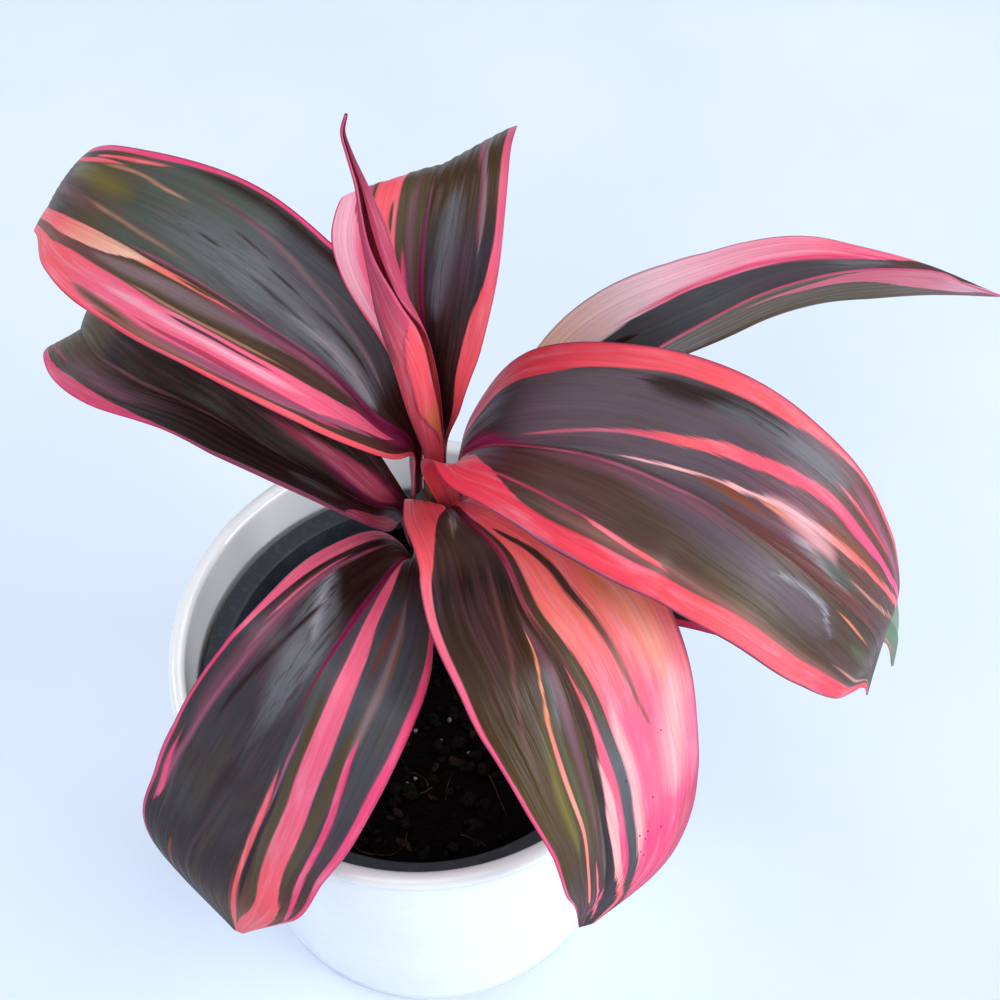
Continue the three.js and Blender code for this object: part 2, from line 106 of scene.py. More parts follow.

# A leaf's path is its midrib from the cane to the tip. Width, fold and curl are listed at equal steps along
# the leaf for its left and right half, seen from above looking out from the cane, in mm and degrees.
# All the rest is in percent. A ground's and a streak's colours are a name, and then each next place along
# the leaf with its name. A streak is its colours, its course and how soft its edge is where that isn't sharp.
# Each point of a course is a place along the leaf, one across it from -100, the left edge, to 100, the right
# edge, and a half width.
# Some streaks are painted light: sheens, highlights and one shadow line, each marked below.
LEAVES = {
    "leaf_spear": {
        "path": [(5, 7, 221), (4.6, 7, 233), (1, 8, 253), (-2, 9, 272), (-5, 11, 289), (-6, 13, 303),
                 (-7, 15, 315), (-8, 17, 325), (-10, 19, 333), (-11, 20, 339), (-10, 21, 343)],
        "side": 60,
        "left": {
            "width": [5.5, 9, 13.5, 15, 15, 13, 10, 2.5, 0.4],
            "fold": [0, 0, 0, 0, 0, 0, 0, 0, 0],
            "curl": [150, 180, 210, 220, 190, 130, 80, 60, 60],
            "ground": "watermelon 45 watermelon 62 rose 85 crimson 97 maroon",
        },
        "right": {
            "width": [5, 7, 9, 11, 12.5, 12, 10, 2.5, 0.4],
            "fold": [0, 0, 0, 0, 0, 0, 0, 0, 0],
            "curl": [150, 150, 115, 125, 150, 210, 250, 250, 200],
            "ground": "coral 10 salmon 42 salmon 55 rose 80 crimson 97 maroon",
        },
        "under": "rose",
        "under_share": 0.25,
        "streaks": [
            ("dusk", "40 -35 0, 50 -30 14, 65 -30 14, 80 -30 0", 15),
            ("salmon 25 orange 32 coral 50 coral", "13 -100 0, 20 -100 20, 25 -100 36, 32 -100 46, "
             "40 -100 46, 46 -100 38, 52 -100 22, 57 -100 0", 2),
            # A thin crimson line painted along the edge of the salmon patch: painted shade where the folded
            # margin overlaps.
            ("crimson",
             "13 -90 0, 20 -78 3, 25 -62 3, 32 -52 2.5, 40 -52 2, 46 -60 2, 52 -76 2, 57 -100 0", 3),
            ("pink", "50 -100 0, 60 -100 6, 100 -100 5"),
            ("rose", "0 100 10, 50 100 6, 100 100 5"),
        ],
    },
    "leaf_upright": {
        "path": [(6, 11.4, 214), (7, 12, 232), (7, 13, 250), (5, 15, 268), (4, 20, 283), (5, 29, 294),
                 (7, 40, 299), (9, 48, 296), (9, 59, 283), (10, 69, 269), (10, 79, 253)],
        "left": {
            "width": [3, 3.5, 6, 12, 25, 25, 23, 16, 0.5],
            "fold": [0, 20, 40, 28, 5, -10, -14, -14, -14],
            "curl": [35, 30, -20, -50, -50, -30, -20, -20, -20],
            "ground": "maroon 30 brown 60 olive 90 olive",
        },
        "right": {
            "width": [3, 3.5, 10, 17, 22, 22, 18, 12, 0.5],
            "fold": [0, 20, 45, 38, 34, 32, 29, 25, 20],
            "curl": [35, 30, -10, -20, -10, 0, 0, 0, 0],
            "ground": "maroon 35 umber 43 charcoal 52 slate 58 loam 80 bronze",
        },
        "under": "sage",
        "under_share": 0.5,
        "streaks": [
            ("pink", "25 -75 10, 40 -80 26, 50 -82 30, 60 -90 20, 68 -100 0"),
            ("pale_pink", "32 -86 0, 42 -86 14, 52 -87 18, 60 -92 10, 66 -100 0", 8),
            ("crimson", "50 -60 0, 60 -68 10, 70 -76 10, 80 -88 8, 86 -100 0"),
            ("coral", "36 -30 0, 48 -36 10, 60 -42 12, 70 -50 13, 80 -62 13, 86 -82 10, 89 -100 0"),
            ("brown", "50 -30 0, 55 -33 2, 60 -34 0"),
            ("hot_pink", "30 -20 0, 38 -20 5, 46 -18 3, 54 -20 0"),
            # Painted grey sheen on the right half.
            ("steel", "38 20 0, 46 28 10, 55 35 10, 61 40 0", 12),
            ("mauve", "50 70 0, 58 72 3, 66 60 3, 76 72 0", 5),
            ("umber", "58 -56 0, 65 -60 1.5, 75 -66 1.2, 83 -90 0"),
            ("dusk", "36 -10 0, 45 -12 4, 60 -12 2.5, 70 -10 0", 3),
            ("mauve 62 taupe", "48 70 0, 56 75 2.5, 65 68 2, 75 74 1.5, 88 95 0"),
            ("crimson 30 coral 46 coral 52 pink 80 rose", "0 100 30, 20 100 25, 35 100 30, 42 100 25, "
             "48 100 15, 55 100 9, 62 100 10, 75 100 9, 85 100 5, 100 100 5"),
            ("pink", "0 -100 10, 30 -100 12, 45 -100 5, 100 -100 4"),
            ("magenta 45 magenta 60 dusk", "5 0 20, 20 0 12, 35 1 6, 50 2 4, 60 2 2, 68 2 0"),
        ],
    },
    "leaf_upper_left": {
        "path": [(0.8, 7, 212), (0.8, 7, 226), (0, 7, 238), (-8, 5, 251), (-21, 12, 264), (-37, 21, 270),
                 (-54, 35, 268), (-75, 54, 260), (-93, 74, 247), (-103, 89, 233), (-107, 105, 215),
                 (-106, 112, 198)],
        "side": 66,
        "left": {
            "width": [3, 6, 26, 28.5, 26, 18.5, 9, 7, 0.5],
            "fold": [0, 30, 40, 34, 28, 22, 10, 0, 0],
            "curl": [35, 20, -25, -25, -20, -20, -20, -20, -20],
            "ground": "maroon 15 maroon 22 brown 50 olive 60 russet 72 rust",
        },
        "right": {
            "width": [2.6, 5.5, 22, 28, 29, 26, 22, 17, 0.5],
            "fold": [0, 20, 34, 34, 28, 25, 20, 10, 5],
            "curl": [35, 10, -20, -20, -20, -20, -20, -20, -20],
            "ground": "maroon 18 umber 22 graphite 36 graphite 45 teal 58 teal 66 olive 73 loam",
        },
        "under": "crimson",
        "under_share": 0.35,
        "streaks": [
            ("magenta", "8 -40 30, 16 -35 25, 24 -20 0", 10),
            ("hot_pink 24 pink 50 pink 62 coral 90 coral", "15 -40 0, 20 -45 14, 27 -68 20, 42 -72 20, "
             "52 -74 25, 60 -78 27, 68 -84 20, 76 -90 17, 84 -90 25, 100 -90 40"),
            # A pale pink line painted as a sheen along the pink band.
            ("pale_pink", "24 -64 0, 32 -67 3, 45 -64 3, 56 -66 0", 5),
            ("crimson", "20 -80 0, 26 -83 4, 36 -80 3, 50 -78 0"),
            ("mauve", "18 -60 0, 22 -70 5, 28 -86 4, 40 -88 3, 48 -86 0"),
            ("clay", "30 -94 0, 42 -90 5, 50 -87 6, 57 -85 0", 3),
            ("olive", "40 -92 0, 48 -88 2, 56 -85 0", 3),
            ("slate", "28 -56 0, 33 -58 2, 38 -58 2, 43 -57 0"),
            ("tan", "26 -42 0, 34 -46 2, 44 -48 2, 53 -47 0"),
            ("taupe", "28 -22 0, 36 -26 8, 48 -30 10, 55 -34 6, 61 -40 0", 5),
            ("mauve", "20 -10 0, 28 -12 8, 38 -12 5, 46 -12 0", 8),
            ("coral 50 salmon 54 cream 64 peach 72 coral 92 salmon", "34 -8 0, 42 -9 3.5, 52 -9 5, "
             "57 -14 13, 64 -19 18, 72 -24 22, 80 -24 24, 88 -30 30, 94 -45 45, 100 -50 60"),
            ("olive", "38 -7 0, 43 -7 2, 51 -8 0"),
            ("coral", "80 -50 0, 86 -55 20, 92 -60 40, 100 -60 50", 8),
            # Painted grey sheen and a paler painted highlight on the right half.
            ("steel", "18 20 0, 24 22 18, 34 30 20, 48 36 14, 60 42 0", 20),
            ("mist", "18 12 0, 22 16 6, 28 20 4, 36 28 0", 10),
            ("umber", "20 30 0, 26 35 2, 34 42 0", 3),
            ("umber", "26 20 0, 34 27 1.5, 42 34 0", 3),
            ("umber", "36 50 0, 41 54 1.4, 46 58 0"),
            ("umber", "42 36 0, 46 39 1.2, 51 42 0"),
            ("umber", "30 40 0, 35 44 1.2, 40 47 0"),
            # A pale line that starts as a painted highlight and turns taupe and dusk.
            ("mist 26 taupe 44 dusk", "18 40 0, 24 44 2.5, 30 54 2, 36 64 2.5, 44 72 2, 56 82 0", 3),
            ("tan", "44 10 0, 54 16 1, 66 23 1.2, 76 34 0", 3),
            ("russet", "62 14 0, 72 26 6, 84 40 6, 94 70 0", 6),
            ("moss", "58 44 0, 66 50 8, 74 60 10, 82 66 0", 14),
            ("tan", "48 57 0, 56 63 1.6, 66 72 1.8, 74 72 0", 2),
            ("umber", "24 84 0, 32 88 6, 48 90 4, 60 88 0", 6),
            ("coral", "55 88 0, 62 86 2, 70 83 2, 76 80 0"),
            ("coral", "62 76 0, 70 76 2, 80 80 3, 90 95 0"),
            ("hot_pink", "0 100 30, 20 100 9, 38 100 4, 50 100 6, 62 100 8, 100 100 8"),
            ("coral", "0 -100 30, 15 -100 14, 25 -100 8, 50 -100 4, 100 -100 6"),
            ("magenta 24 magenta 34 mauve", "2 0 20, 15 0 12, 22 2 3, 34 2 1.2, 50 2 1.2, 62 2 0"),
        ],
    },
    "leaf_left_under": {
        "path": [(-1.3, 7, 190), (-4, 6, 206), (-12, -3, 224), (-22, -1, 232), (-32, 3, 236),
                 (-41, 8, 238), (-52, 16, 238), (-71, 30, 230), (-87, 48, 218), (-97, 68, 204),
                 (-99, 81, 188)],
        "side": 72,
        "left": {
            "width": [3, 5, 14, 19.5, 21, 19.5, 15, 10, 0.5],
            "fold": [0, 30, 38, 38, 38, 38, 35, 30, 25],
            "curl": [40, 30, 0, 0, 0, 0, 0, 0, 0],
            "ground": "maroon 20 umber 60 umber 72 brown 84 bronze",
        },
        "right": {
            "width": [3.5, 5.5, 15, 21, 24, 25, 21, 13, 0.5],
            "fold": [0, 40, 50, 40, 30, 20, 15, 15, 15],
            "curl": [40, 0, -40, -40, -30, -20, -20, -20, -20],
            "ground": "maroon 25 umber 72 umber 80 bronze",
        },
        "under": "mauve",
        "under_share": 0.5,
        "streaks": [
            ("magenta", "4 30 30, 12 35 45, 20 40 30, 28 30 10, 34 30 0", 10),
            ("rose", "14 -100 0, 18 -80 40, 22 -85 35, 25 -100 0", 4),
            # Painted grey sheen on the left half.
            ("steel", "24 -40 0, 28 -40 8, 33 -40 0", 15),
            ("dusk", "45 -30 0, 58 -40 6, 70 -40 6, 80 -45 0", 30),
            ("mauve", "52 -55 0, 60 -52 3, 72 -58 0", 10),
            ("dusk", "35 -4 0, 45 -6 2, 60 1 3, 80 0 2, 90 0 0"),
            ("rose 20 rose 30 crimson", "10 40 0, 20 40 20, 28 38 12, 36 35 3, 42 35 0", 6),
            ("mauve", "30 60 0, 40 75 15, 50 90 12, 70 100 5, 100 100 5"),
            ("mauve 40 mauve 50 hot_pink 78 hot_pink 88 mauve", "22 -100 8, 34 -100 14, 44 -100 7, "
             "50 -100 12, 56 -100 24, 66 -100 29, 74 -100 20, 82 -100 10, 100 -100 8"),
            ("crimson", "74 -55 0, 80 -64 3, 86 -78 2, 90 -90 0", 3),
            ("magenta", "2 0 20, 15 0 8, 30 0 0"),
        ],
    },
    "leaf_front_left": {
        "path": [(1, 1, 184), (0, -5, 197), (-3, -12, 209), (-8, -24, 216), (-14, -37, 221),
                 (-21, -50, 221), (-26, -57, 215), (-32, -64, 204), (-38, -70, 188), (-45, -75, 168),
                 (-50.5, -81, 149), (-50.5, -83, 128)],
        "left": {
            "width": [3.5, 6, 18, 26, 28, 27, 24, 20, 3],
            "fold": [0, 30, 10, 0, 0, 0, 0, 0, 0],
            "curl": [40, 20, -30, -20, -20, -20, -20, -20, -20],
            "ground": "maroon 20 umber 28 graphite 50 graphite 65 slate 80 brown 95 rust",
        },
        "right": {
            "width": [3.5, 9, 20, 24, 28, 31, 32, 29, 0.5],
            "fold": [0, 35, 25, 15, 5, 5, 5, 5, 5],
            "curl": [40, -20, -40, -30, -20, -20, -20, -20, -20],
            "ground": "maroon 22 umber 30 umber 38 slate 55 slate 65 charcoal 85 charcoal 95 loam",
        },
        "under": "rose",
        "under_share": 0.4,
        "streaks": [
            ("olive", "40 -50 0, 50 -54 5, 70 -58 6, 85 -66 0"),
            ("russet", "25 -42 0, 31 -44 4, 37 -43 2, 42 -44 0", 3),
            ("taupe", "22 -44 0, 30 -52 3, 40 -58 4, 50 -61 2, 56 -62 0", 4),
            ("rust", "28 -52 0, 34 -58 1.4, 42 -62 0"),
            ("olive", "40 -12 0, 50 -18 5, 60 -20 5, 70 -22 6, 80 -30 6, 89 -40 0"),
            ("umber", "55 -10 0, 66 -12 3, 80 -16 3, 92 -24 0"),
            ("hot_pink 35 pink 60 pink 85 coral", "12 -8 0, 20 -12 6, 30 -18 7.5, 40 -27.5 9.5, "
             "50 -33 10.5, 60 -36 11, 70 -40 12.5, 80 -46 13, 88 -58 18, 95 -60 35, 100 -60 50"),
            ("hot_pink", "44 -59 0, 50 -62 2.4, 60 -67 3.2, 70 -73 3.6, 80 -80 3.4, 86 -87 3, 91 -100 0"),
            ("mauve", "45 -10 0, 55 -10 1.5, 85 -10 0"),
            ("pink 85 coral", "54 -3 0, 62 -5 1.8, 72 -7 3, 85 -10 3.5, 93 -14 5, 100 -14 6"),
            # Painted grey sheen and paler painted highlights on the right half.
            ("steel", "24 62 0, 29 50 14, 35 34 22, 42 24 18, 50 24 8, 60 30 0", 10),
            ("mist", "25 62 0, 29 52 5, 34 36 5, 40 18 0", 8),
            ("mist", "30 68 0, 36 72 2, 43 80 0", 5),
            ("umber", "30 34 0, 36 44 3, 44 54 3, 52 62 2, 60 66 0", 3),
            ("umber", "56 28 0, 66 36 5, 76 40 4, 84 42 0", 6),
            ("dusk", "20 55 0, 30 68 6, 42 74 9, 54 80 6, 68 84 0", 6),
            ("mauve", "13 42 0, 20 53 3, 28 62 2.5, 38 72 2, 50 78 0", 3),
            ("pink", "18 60 0, 26 66 1.2, 34 75 1.2, 42 82 0", 2),
            ("mauve", "36 66 0, 46 72 1.5, 56 78 2, 66 81 2, 76 86 1.5, 83 100 0", 3),
            ("hot_pink", "60 90 0, 70 88 2, 76 88 3, 82 92 0", 2),
            ("rust", "82 60 0, 87 66 2, 92 70 0"),
            ("rose 12 pink 30 pink 45 hot_pink", "0 100 50, 12 100 34, 20 100 28, 27 100 22, 33 100 14, "
             "40 100 7, 50 100 4, 72 100 5, 80 100 3, 100 100 5"),
            ("hot_pink", "0 -100 40, 20 -100 10, 27 -100 9, 50 -100 10, 70 -100 8, 85 -100 5, 100 -100 10"),
            ("magenta", "2 0 20, 20 0 6, 35 0 3, 60 0 0"),
        ],
    },
    "leaf_front_right": {
        "path": [(6, 0.6, 190), (8, -2, 205), (10, -1, 218), (15, -10, 225), (24, -24, 231),
                 (30, -40, 232), (36, -50, 229), (41, -58, 220), (45, -66, 206), (49, -74, 186),
                 (51, -82, 163), (45, -88, 144)],
        "left": {
            "width": [3.5, 5, 18, 32, 33, 32, 30, 23, 5],
            "fold": [0, 10, 15, 0, 0, 0, 0, 0, 0],
            "curl": [40, -10, -30, -20, -10, -10, -10, -10, -10],
            "ground": "maroon 16 crimson 24 coral 45 salmon 62 pink 76 pink 84 hot_pink 100 rose",
        },
        "right": {
            "width": [3.5, 10, 21, 25, 26.5, 23.5, 19, 14, 0.5],
            "fold": [0, 30, 45, 30, 25, 35, 42, 35, 30],
            "curl": [40, 0, -40, -40, -30, -30, -30, -30, -30],
            "ground": "crimson 15 maroon 22 umber 29 brown 36 umber 50 loam 70 bronze 85 loam 95 maroon",
        },
        "under": "coral",
        "under_share": 0.3,
        "streaks": [
            ("peach", "34 -60 0, 42 -68 8, 52 -74 10, 60 -76 0", 15),
            ("orange", "32 -50 0, 38 -60 4, 43 -62 3, 48 -62 0", 10),
            # Two pale shell streaks painted as highlights on the pink half.
            ("shell", "54 -30 0, 62 -28 4, 70 -32 5, 78 -35 5, 86 -38 2, 90 -44 0", 5),
            ("shell", "54 -85 0, 62 -80 10, 72 -74 8, 80 -72 0", 15),
            ("rose", "66 -100 0, 76 -100 8, 85 -100 18, 95 -100 14", 10),
            ("umber 42 brown 54 clay", "25 -16 0, 28 -18 2.8, 32 -26 3.4, 36 -34 3.4, 42 -38.5 3, "
             "50 -43 2.5, 57 -48 1.7, 62 -54 1.2, 66 -60 0"),
            # Its steel stretch is painted sheen on the dark stripe.
            ("umber 40 brown 55 olive 68 steel 86 graphite 93 brown", "10 -4 10, 30 -4 5, 42 -6 4, "
             "50 -10 5, 60 -17 5.5, 70 -24 5.5, 80 -28 5, 88 -35 6, 93 -55 8, 97 -90 10, 100 -100 15"),
            ("olive 60 brown 80 charcoal",
             "36 0 0, 46 -1 3, 60 -3 5, 74 -2 5, 84 -3 6, 90 -12 12, 95 -35 30, 100 -40 50"),
            ("coral", "44 -2 0, 54 -5 1, 63 -10 1.2, 70 -13 0"),
            ("pink 76 shell 86 shell 93 coral",
             "63 -3 0, 70 -9 2.5, 78 -11 4.5, 86 -14 4.5, 91 -30 5, 95 -62 6, 100 -80 6"),
            ("dusk", "36 10 0, 50 12 5, 70 16 4, 92 20 0", 4),
            # Painted grey sheens on the right half.
            ("steel", "46 16 0, 52 20 3, 60 28 0", 5),
            ("steel", "68 0 0, 76 4 2, 84 10 2, 90 10 0", 5),
            ("green", "54 30 0, 64 32 4, 74 36 3, 84 40 0", 4),
            ("moss", "52 42 0, 60 50 2, 68 57 5, 74 58 4, 80 60 0", 5),
            ("orange 54 orange 60 salmon 68 peach 80 salmon", "40 10 0, 46 18 1.2, 52 30 1.4, 58 39 2.2, "
             "66 43 3, 76 44 3, 84 50 3, 90 53 3.5, 94 40 4, 97 10 4, 100 -10 0"),
            ("russet", "30 24 0, 38 27 1.4, 44 37 2, 50 52 1.8, 58 67 1.4, 70 70 0", 3),
            ("pink", "80 30 0, 86 30 2.5, 91 22 3, 95 -5 4, 100 -40 0"),
            ("maroon", "90 80 0, 94 60 30, 100 50 40", 10),
            # A thin painted highlight near the base.
            ("mist", "19 10 0, 23 25 1.2, 28 50 0", 3),
            ("tan", "20 20 0, 24 36 2, 29 55 0", 4),
            ("coral 30 coral 45 pink 80 hot_pink", "0 90 70, 12 90 62, 17 100 80, 20 100 66, 24 100 42, "
             "28 100 25, 33 100 14, 40 100 9, 50 100 6, 60 100 5, 100 100 5"),
            ("magenta 18 maroon 34 crimson 50 dusk", "2 0 20, 18 -2 12, 26 0 6, 36 1 3, 62 2 0"),
        ],
        "specks": "62 -50 0, 70 -50 26, 85 -50 30, 95 -50 0",
    },
    "leaf_right": {
        "path": [(12, 5, 206), (12, 5, 222), (13.2, 3.4, 235), (20, 0, 246), (27, -5, 254), (41, -12, 262),
                 (51, -17, 265), (63, -22, 264), (72, -25, 261), (82, -29, 255), (92, -32, 247),
                 (102, -34, 236), (112, -35, 223), (120, -34, 207), (123, -31, 191), (123, -34, 176)],
        "roll": [0, 0, 0, 0, -15, -15, -15, -10, 0],
        "left": {
            "width": [3, 10, 24, 29.5, 30.5, 28.5, 22, 14, 0.5],
            "fold": [0, 10, 40, 32, 30, 25, 20, 10, 0],
            "curl": [35, 0, -30, -25, -20, -20, -20, -20, 0],
            "ground": "maroon 17 maroon 22 slate 28 plum 50 plum 60 dusk 66 russet 90 brown",
        },
        "right": {
            "width": [3, 12, 20, 27.5, 27.5, 25.5, 23.5, 17, 0.5],
            "fold": [0, 0, 20, 5, 0, 0, 0, 0, 0],
            "curl": [35, 112, -10, -20, -20, -20, -20, -20, 0],
            "ground": "coral 8 coral 15 maroon 24 maroon 32 brown 50 brown 60 olive 74 loam",
        },
        "under": "red",
        "under_share": 0.3,
        "streaks": [
            ("magenta", "8 -10 16, 16 -10 14, 24 -2 4, 32 2 0", 10),
            ("umber", "38 -70 0, 43 -70 8, 49 -75 8, 56 -78 0", 5),
            # Painted grey sheen on the left half.
            ("steel", "44 -66 0, 52 -72 8, 60 -76 10, 65 -80 0", 12),
            ("mauve", "62 -85 0, 70 -84 4, 80 -85 3, 86 -90 0", 6),
            ("red", "58 -74 0, 66 -76 1.2, 74 -78 1.2, 82 -85 0"),
            # Painted sheen on the right half in plum, then two pale painted highlights.
            ("plum", "38 14 0, 50 20 12, 60 27 18, 70 30 14, 77 34 0", 20),
            ("mist", "60 30 0, 64 17 1.5, 69 14 2, 73 28 1.5, 76 45 0", 5),
            ("mist", "60 -14 0, 65 -17 4, 70 -13 3, 76 -10 0", 8),
            ("dusk", "24 10 0, 36 11 6, 50 10 5, 60 8 0", 6),
            ("clay", "30 64 0, 40 70 3, 60 72 4, 78 74 3, 90 74 0", 10),
            ("russet", "48 -3 0, 58 -2 6, 72 -4 8, 86 -6 0"),
            ("clay 38 rose 46 coral 75 hot_pink", "22 -6 0, 30 -13 1.4, 38 -24 1.8, 44 -32 3.5, "
             "50 -42 5, 56 -52 5, 63 -59 4.5, 70 -61 4.5, 77 -66 4, 84 -80 4, 90 -100 0"),
            ("coral 46 shell 60 shell 68 salmon 82 coral", "36 -2 0, 42 -7 1, 50 -17 1.3, 56 -26 1.6, "
             "62 -34 2.2, 68 -40 3.2, 74 -46 3.4, 80 -55 3.6, 86 -75 4, 92 -100 0"),
            ("rust", "46 -10 0, 52 -14 3, 60 -16 0", 3),
            ("rust", "60 -40 0, 68 -46 4, 76 -52 3, 82 -60 0", 5),
            # A painted pale pink sheen.
            ("dusty_pink", "54 -29 0, 60 -29 6, 65 -26 7, 71 -22 0", 7),
            ("orange", "52 -20 0, 58 -24 1.2, 66 -27 0"),
            ("teal", "62 -20 0, 70 -20 5, 78 -24 0", 6),
            ("tan", "68 -22 0, 78 -28 2, 86 -50 2, 92 -90 0"),
            ("orange", "70 10 0, 78 13 1.2, 88 20 0"),
            ("green", "78 30 0, 83 32 5, 89 36 0", 8),
            ("tan", "75 60 0, 84 62 2, 95 68 2, 100 70 0"),
            ("coral 10 coral 16 red 32 red 45 red 60 coral 72 coral 84 red",
             "0 100 120, 13 100 110, 17 100 88, 21 100 70, 25 100 52, 29 100 32, 33 100 23, 42 100 22, "
             "50 100 22, 60 100 25, 80 100 25, 87 100 24, 93 100 24, 100 100 30"),
            ("coral", "36 58 0, 41 64 2, 46 69 2.2, 52 76 0"),
            ("crimson", "22 50 0, 28 57 1.5, 36 60 1.5, 43 62 0"),
            ("mauve", "24 98 0, 34 100 3, 50 100 2, 100 100 2"),
            ("hot_pink 25 red 50 coral", "0 -100 60, 14 -100 45, 20 -100 38, 28 -100 32, 36 -100 23, "
             "42 -100 19, 50 -100 16, 57 -100 8, 66 -100 4, 100 -100 6"),
            ("magenta 24 crimson 40 mauve", "5 0 12, 18 1 3.5, 30 3 2, 45 4 1.4, 62 3 0"),
        ],
    },
    "leaf_right_back": {
        "path": [(9, 7.6, 188), (15, 9, 199), (24, 11, 216), (37, 14, 234), (54, 20, 247), (70, 21, 257),
                 (80, 22, 263), (90, 24, 268), (103, 27, 270), (118, 31, 267), (135, 39, 258),
                 (156, 50, 243)],
        "left": {
            "width": [3.5, 6, 15, 24, 27, 25, 18, 9, 0.5],
            "fold": [0, 40, 35, 20, 10, 5, 5, 5, 5],
            "curl": [40, 0, -20, -20, -20, -20, -10, 0, 0],
            "ground": "maroon 20 umber 42 graphite 70 graphite 85 brown",
        },
        "right": {
            "width": [3.5, 5, 11, 17, 21, 20, 18, 7, 0.5],
            "fold": [0, 40, 50, 62, 70, 72, 72, 72, 72],
            "curl": [40, 0, 0, 0, 0, 0, 0, 0, 0],
            "ground": "maroon 30 brown 55 olive 80 olive 92 mauve",
        },
        "under": "olive",
        "under_share": 0.6,
        "streaks": [
            ("umber", "36 -36 0, 40 -36 3, 44 -34 0"),
            # Painted grey sheen on the left half.
            ("steel", "68 -50 0, 76 -60 8, 82 -74 0", 10),
            ("hot_pink 80 hot_pink 89 pale_pink", "40 -2 0, 50 -8 2, 56 -19 2.2, 63 -21 2.5, 72 -36 3.5, "
             "80 -46 5, 86 -50 13, 93 -50 20, 100 -50 40"),
            ("coral 22 salmon 32 cream 42 blush 54 pale_pink 74 pink 82 pink",
             "0 -100 50, 25 -100 50, 36 -100 55, 45 -100 46, 52 -100 41, 60 -100 43, 68 -100 40, "
             "76 -100 32, 82 -100 18, 88 -100 2, 100 -100 2"),
            ("hot_pink", "38 -50 0, 45 -58 2, 54 -62 3, 66 -62 4, 76 -74 5, 85 -90 0", 3),
            ("hot_pink 80 pink 90 pale_pink",
             "56 70 0, 64 72 8, 72 78 22, 80 75 40, 88 70 40, 94 90 20, 100 100 10"),
            ("hot_pink", "0 100 30, 40 100 8, 70 100 5, 100 100 10"),
            ("magenta", "5 0 12, 25 0 6, 50 0 2.5, 65 0 0"),
        ],
    },
    "leaf_right_under": {
        "path": [(6.8, 4, 172), (14, 0, 183), (32, -6, 198), (58, -12, 207), (84, -17, 206),
                 (107, -18, 196), (127, -12, 182), (134, -13, 171), (134, -18, 162)],
        "roll": [0, 0, 0, 0, 0, 0, 40, 130, 170],
        "left": {
            "width": [3.5, 6, 12, 16, 18, 17, 13, 8, 0.5],
            "fold": [0, 40, 30, 20, 20, 20, 20, 30, 30],
            "curl": [40, 0, -20, -20, -20, -20, -20, -20, 0],
            "ground": "maroon 25 brown 60 olive 100 green",
        },
        "right": {
            "width": [3.5, 6, 12, 16, 18, 17, 13, 8, 0.5],
            "fold": [0, 40, 30, 20, 20, 20, 20, 30, 30],
            "curl": [40, 0, -20, -20, -20, -20, -20, -20, 0],
            "ground": "maroon 25 umber 60 slate 100 green",
        },
        "under": "sage",
        "under_share": 0.9,
        "streaks": [
            ("pink", "20 -40 0, 40 -45 10, 70 -55 12, 90 -70 10, 100 -80 0"),
            ("coral", "35 25 0, 55 35 4, 80 50 4, 92 70 0"),
            ("hot_pink", "0 100 30, 30 100 12, 100 100 10"),
            ("pink", "0 -100 30, 30 -100 12, 100 -100 10"),
            ("magenta", "5 0 15, 25 0 5, 60 0 0"),
        ],
    },
}
# Streaks in these colours are painted sheen, broken up along the veins.
PAINTED_SHEENS = ("steel", "mist")
SOFT = 1.4  # how soft a streak's edge is where nothing else is said

TURNED_STEPS = 192  # points round a pot
CACHEPOT = {"height": 140, "base_radius": 61, "rim_radius": 74, "wall": 4, "floor": 6, "lip": 5.5,
            "lip_proud": 1, "edge": 2.5, "foot_width": 7.5, "foot_slope": 1.5, "foot_lift": 0.8, "corner": 3}
NURSERY = {"floor": 6.3, "height": 116, "base_radius": 50, "rim_radius": 67, "lip_width": 6.5, "lip_drop": 9,
           "lip_skin": 1.5, "lip_edge": 1.2, "corner": 1.5, "wall": 1.6, "holes": 6, "hole_radius": 4,
           "hole_circle": 36, "drill_length": 8}
# Each set of lumps in the soil is how many waves it has, their length and their height.
SOIL = {"level": 111.3, "crown": 1.5, "radius": 59, "clearance": 0.5, "rings": 56, "spokes": 150,
        "lumps": [(7, 30, 0.5), (9, 9, 0.42), (9, 4, 0.3)]}
CANE = {"path": [(-10, 6, 84), (-7, 6, 108), (-3, 6, 140), (2, 6, 175), (6, 6, 205), (6.5, 6, 220)],
        "radii": [5.6, 5.6, 5.2, 4.6, 4, 3.6], "steps": 150, "around": 40, "inside": 0.25, "bark": 0.08,
        "bark_length": 7, "foot": (-7, 6), "clear_radius": 9}
# The rings that fallen leaves left round the cane. Where and how wide they are is in shares of their spacing.
SCARS = {"spacing": 9, "waver": 1.2, "twist": 15, "ridge": 0.22, "ridge_at": 0.5, "ridge_width": 0.07,
         "crease": 0.12, "crease_at": 0.62, "crease_width": 0.06}

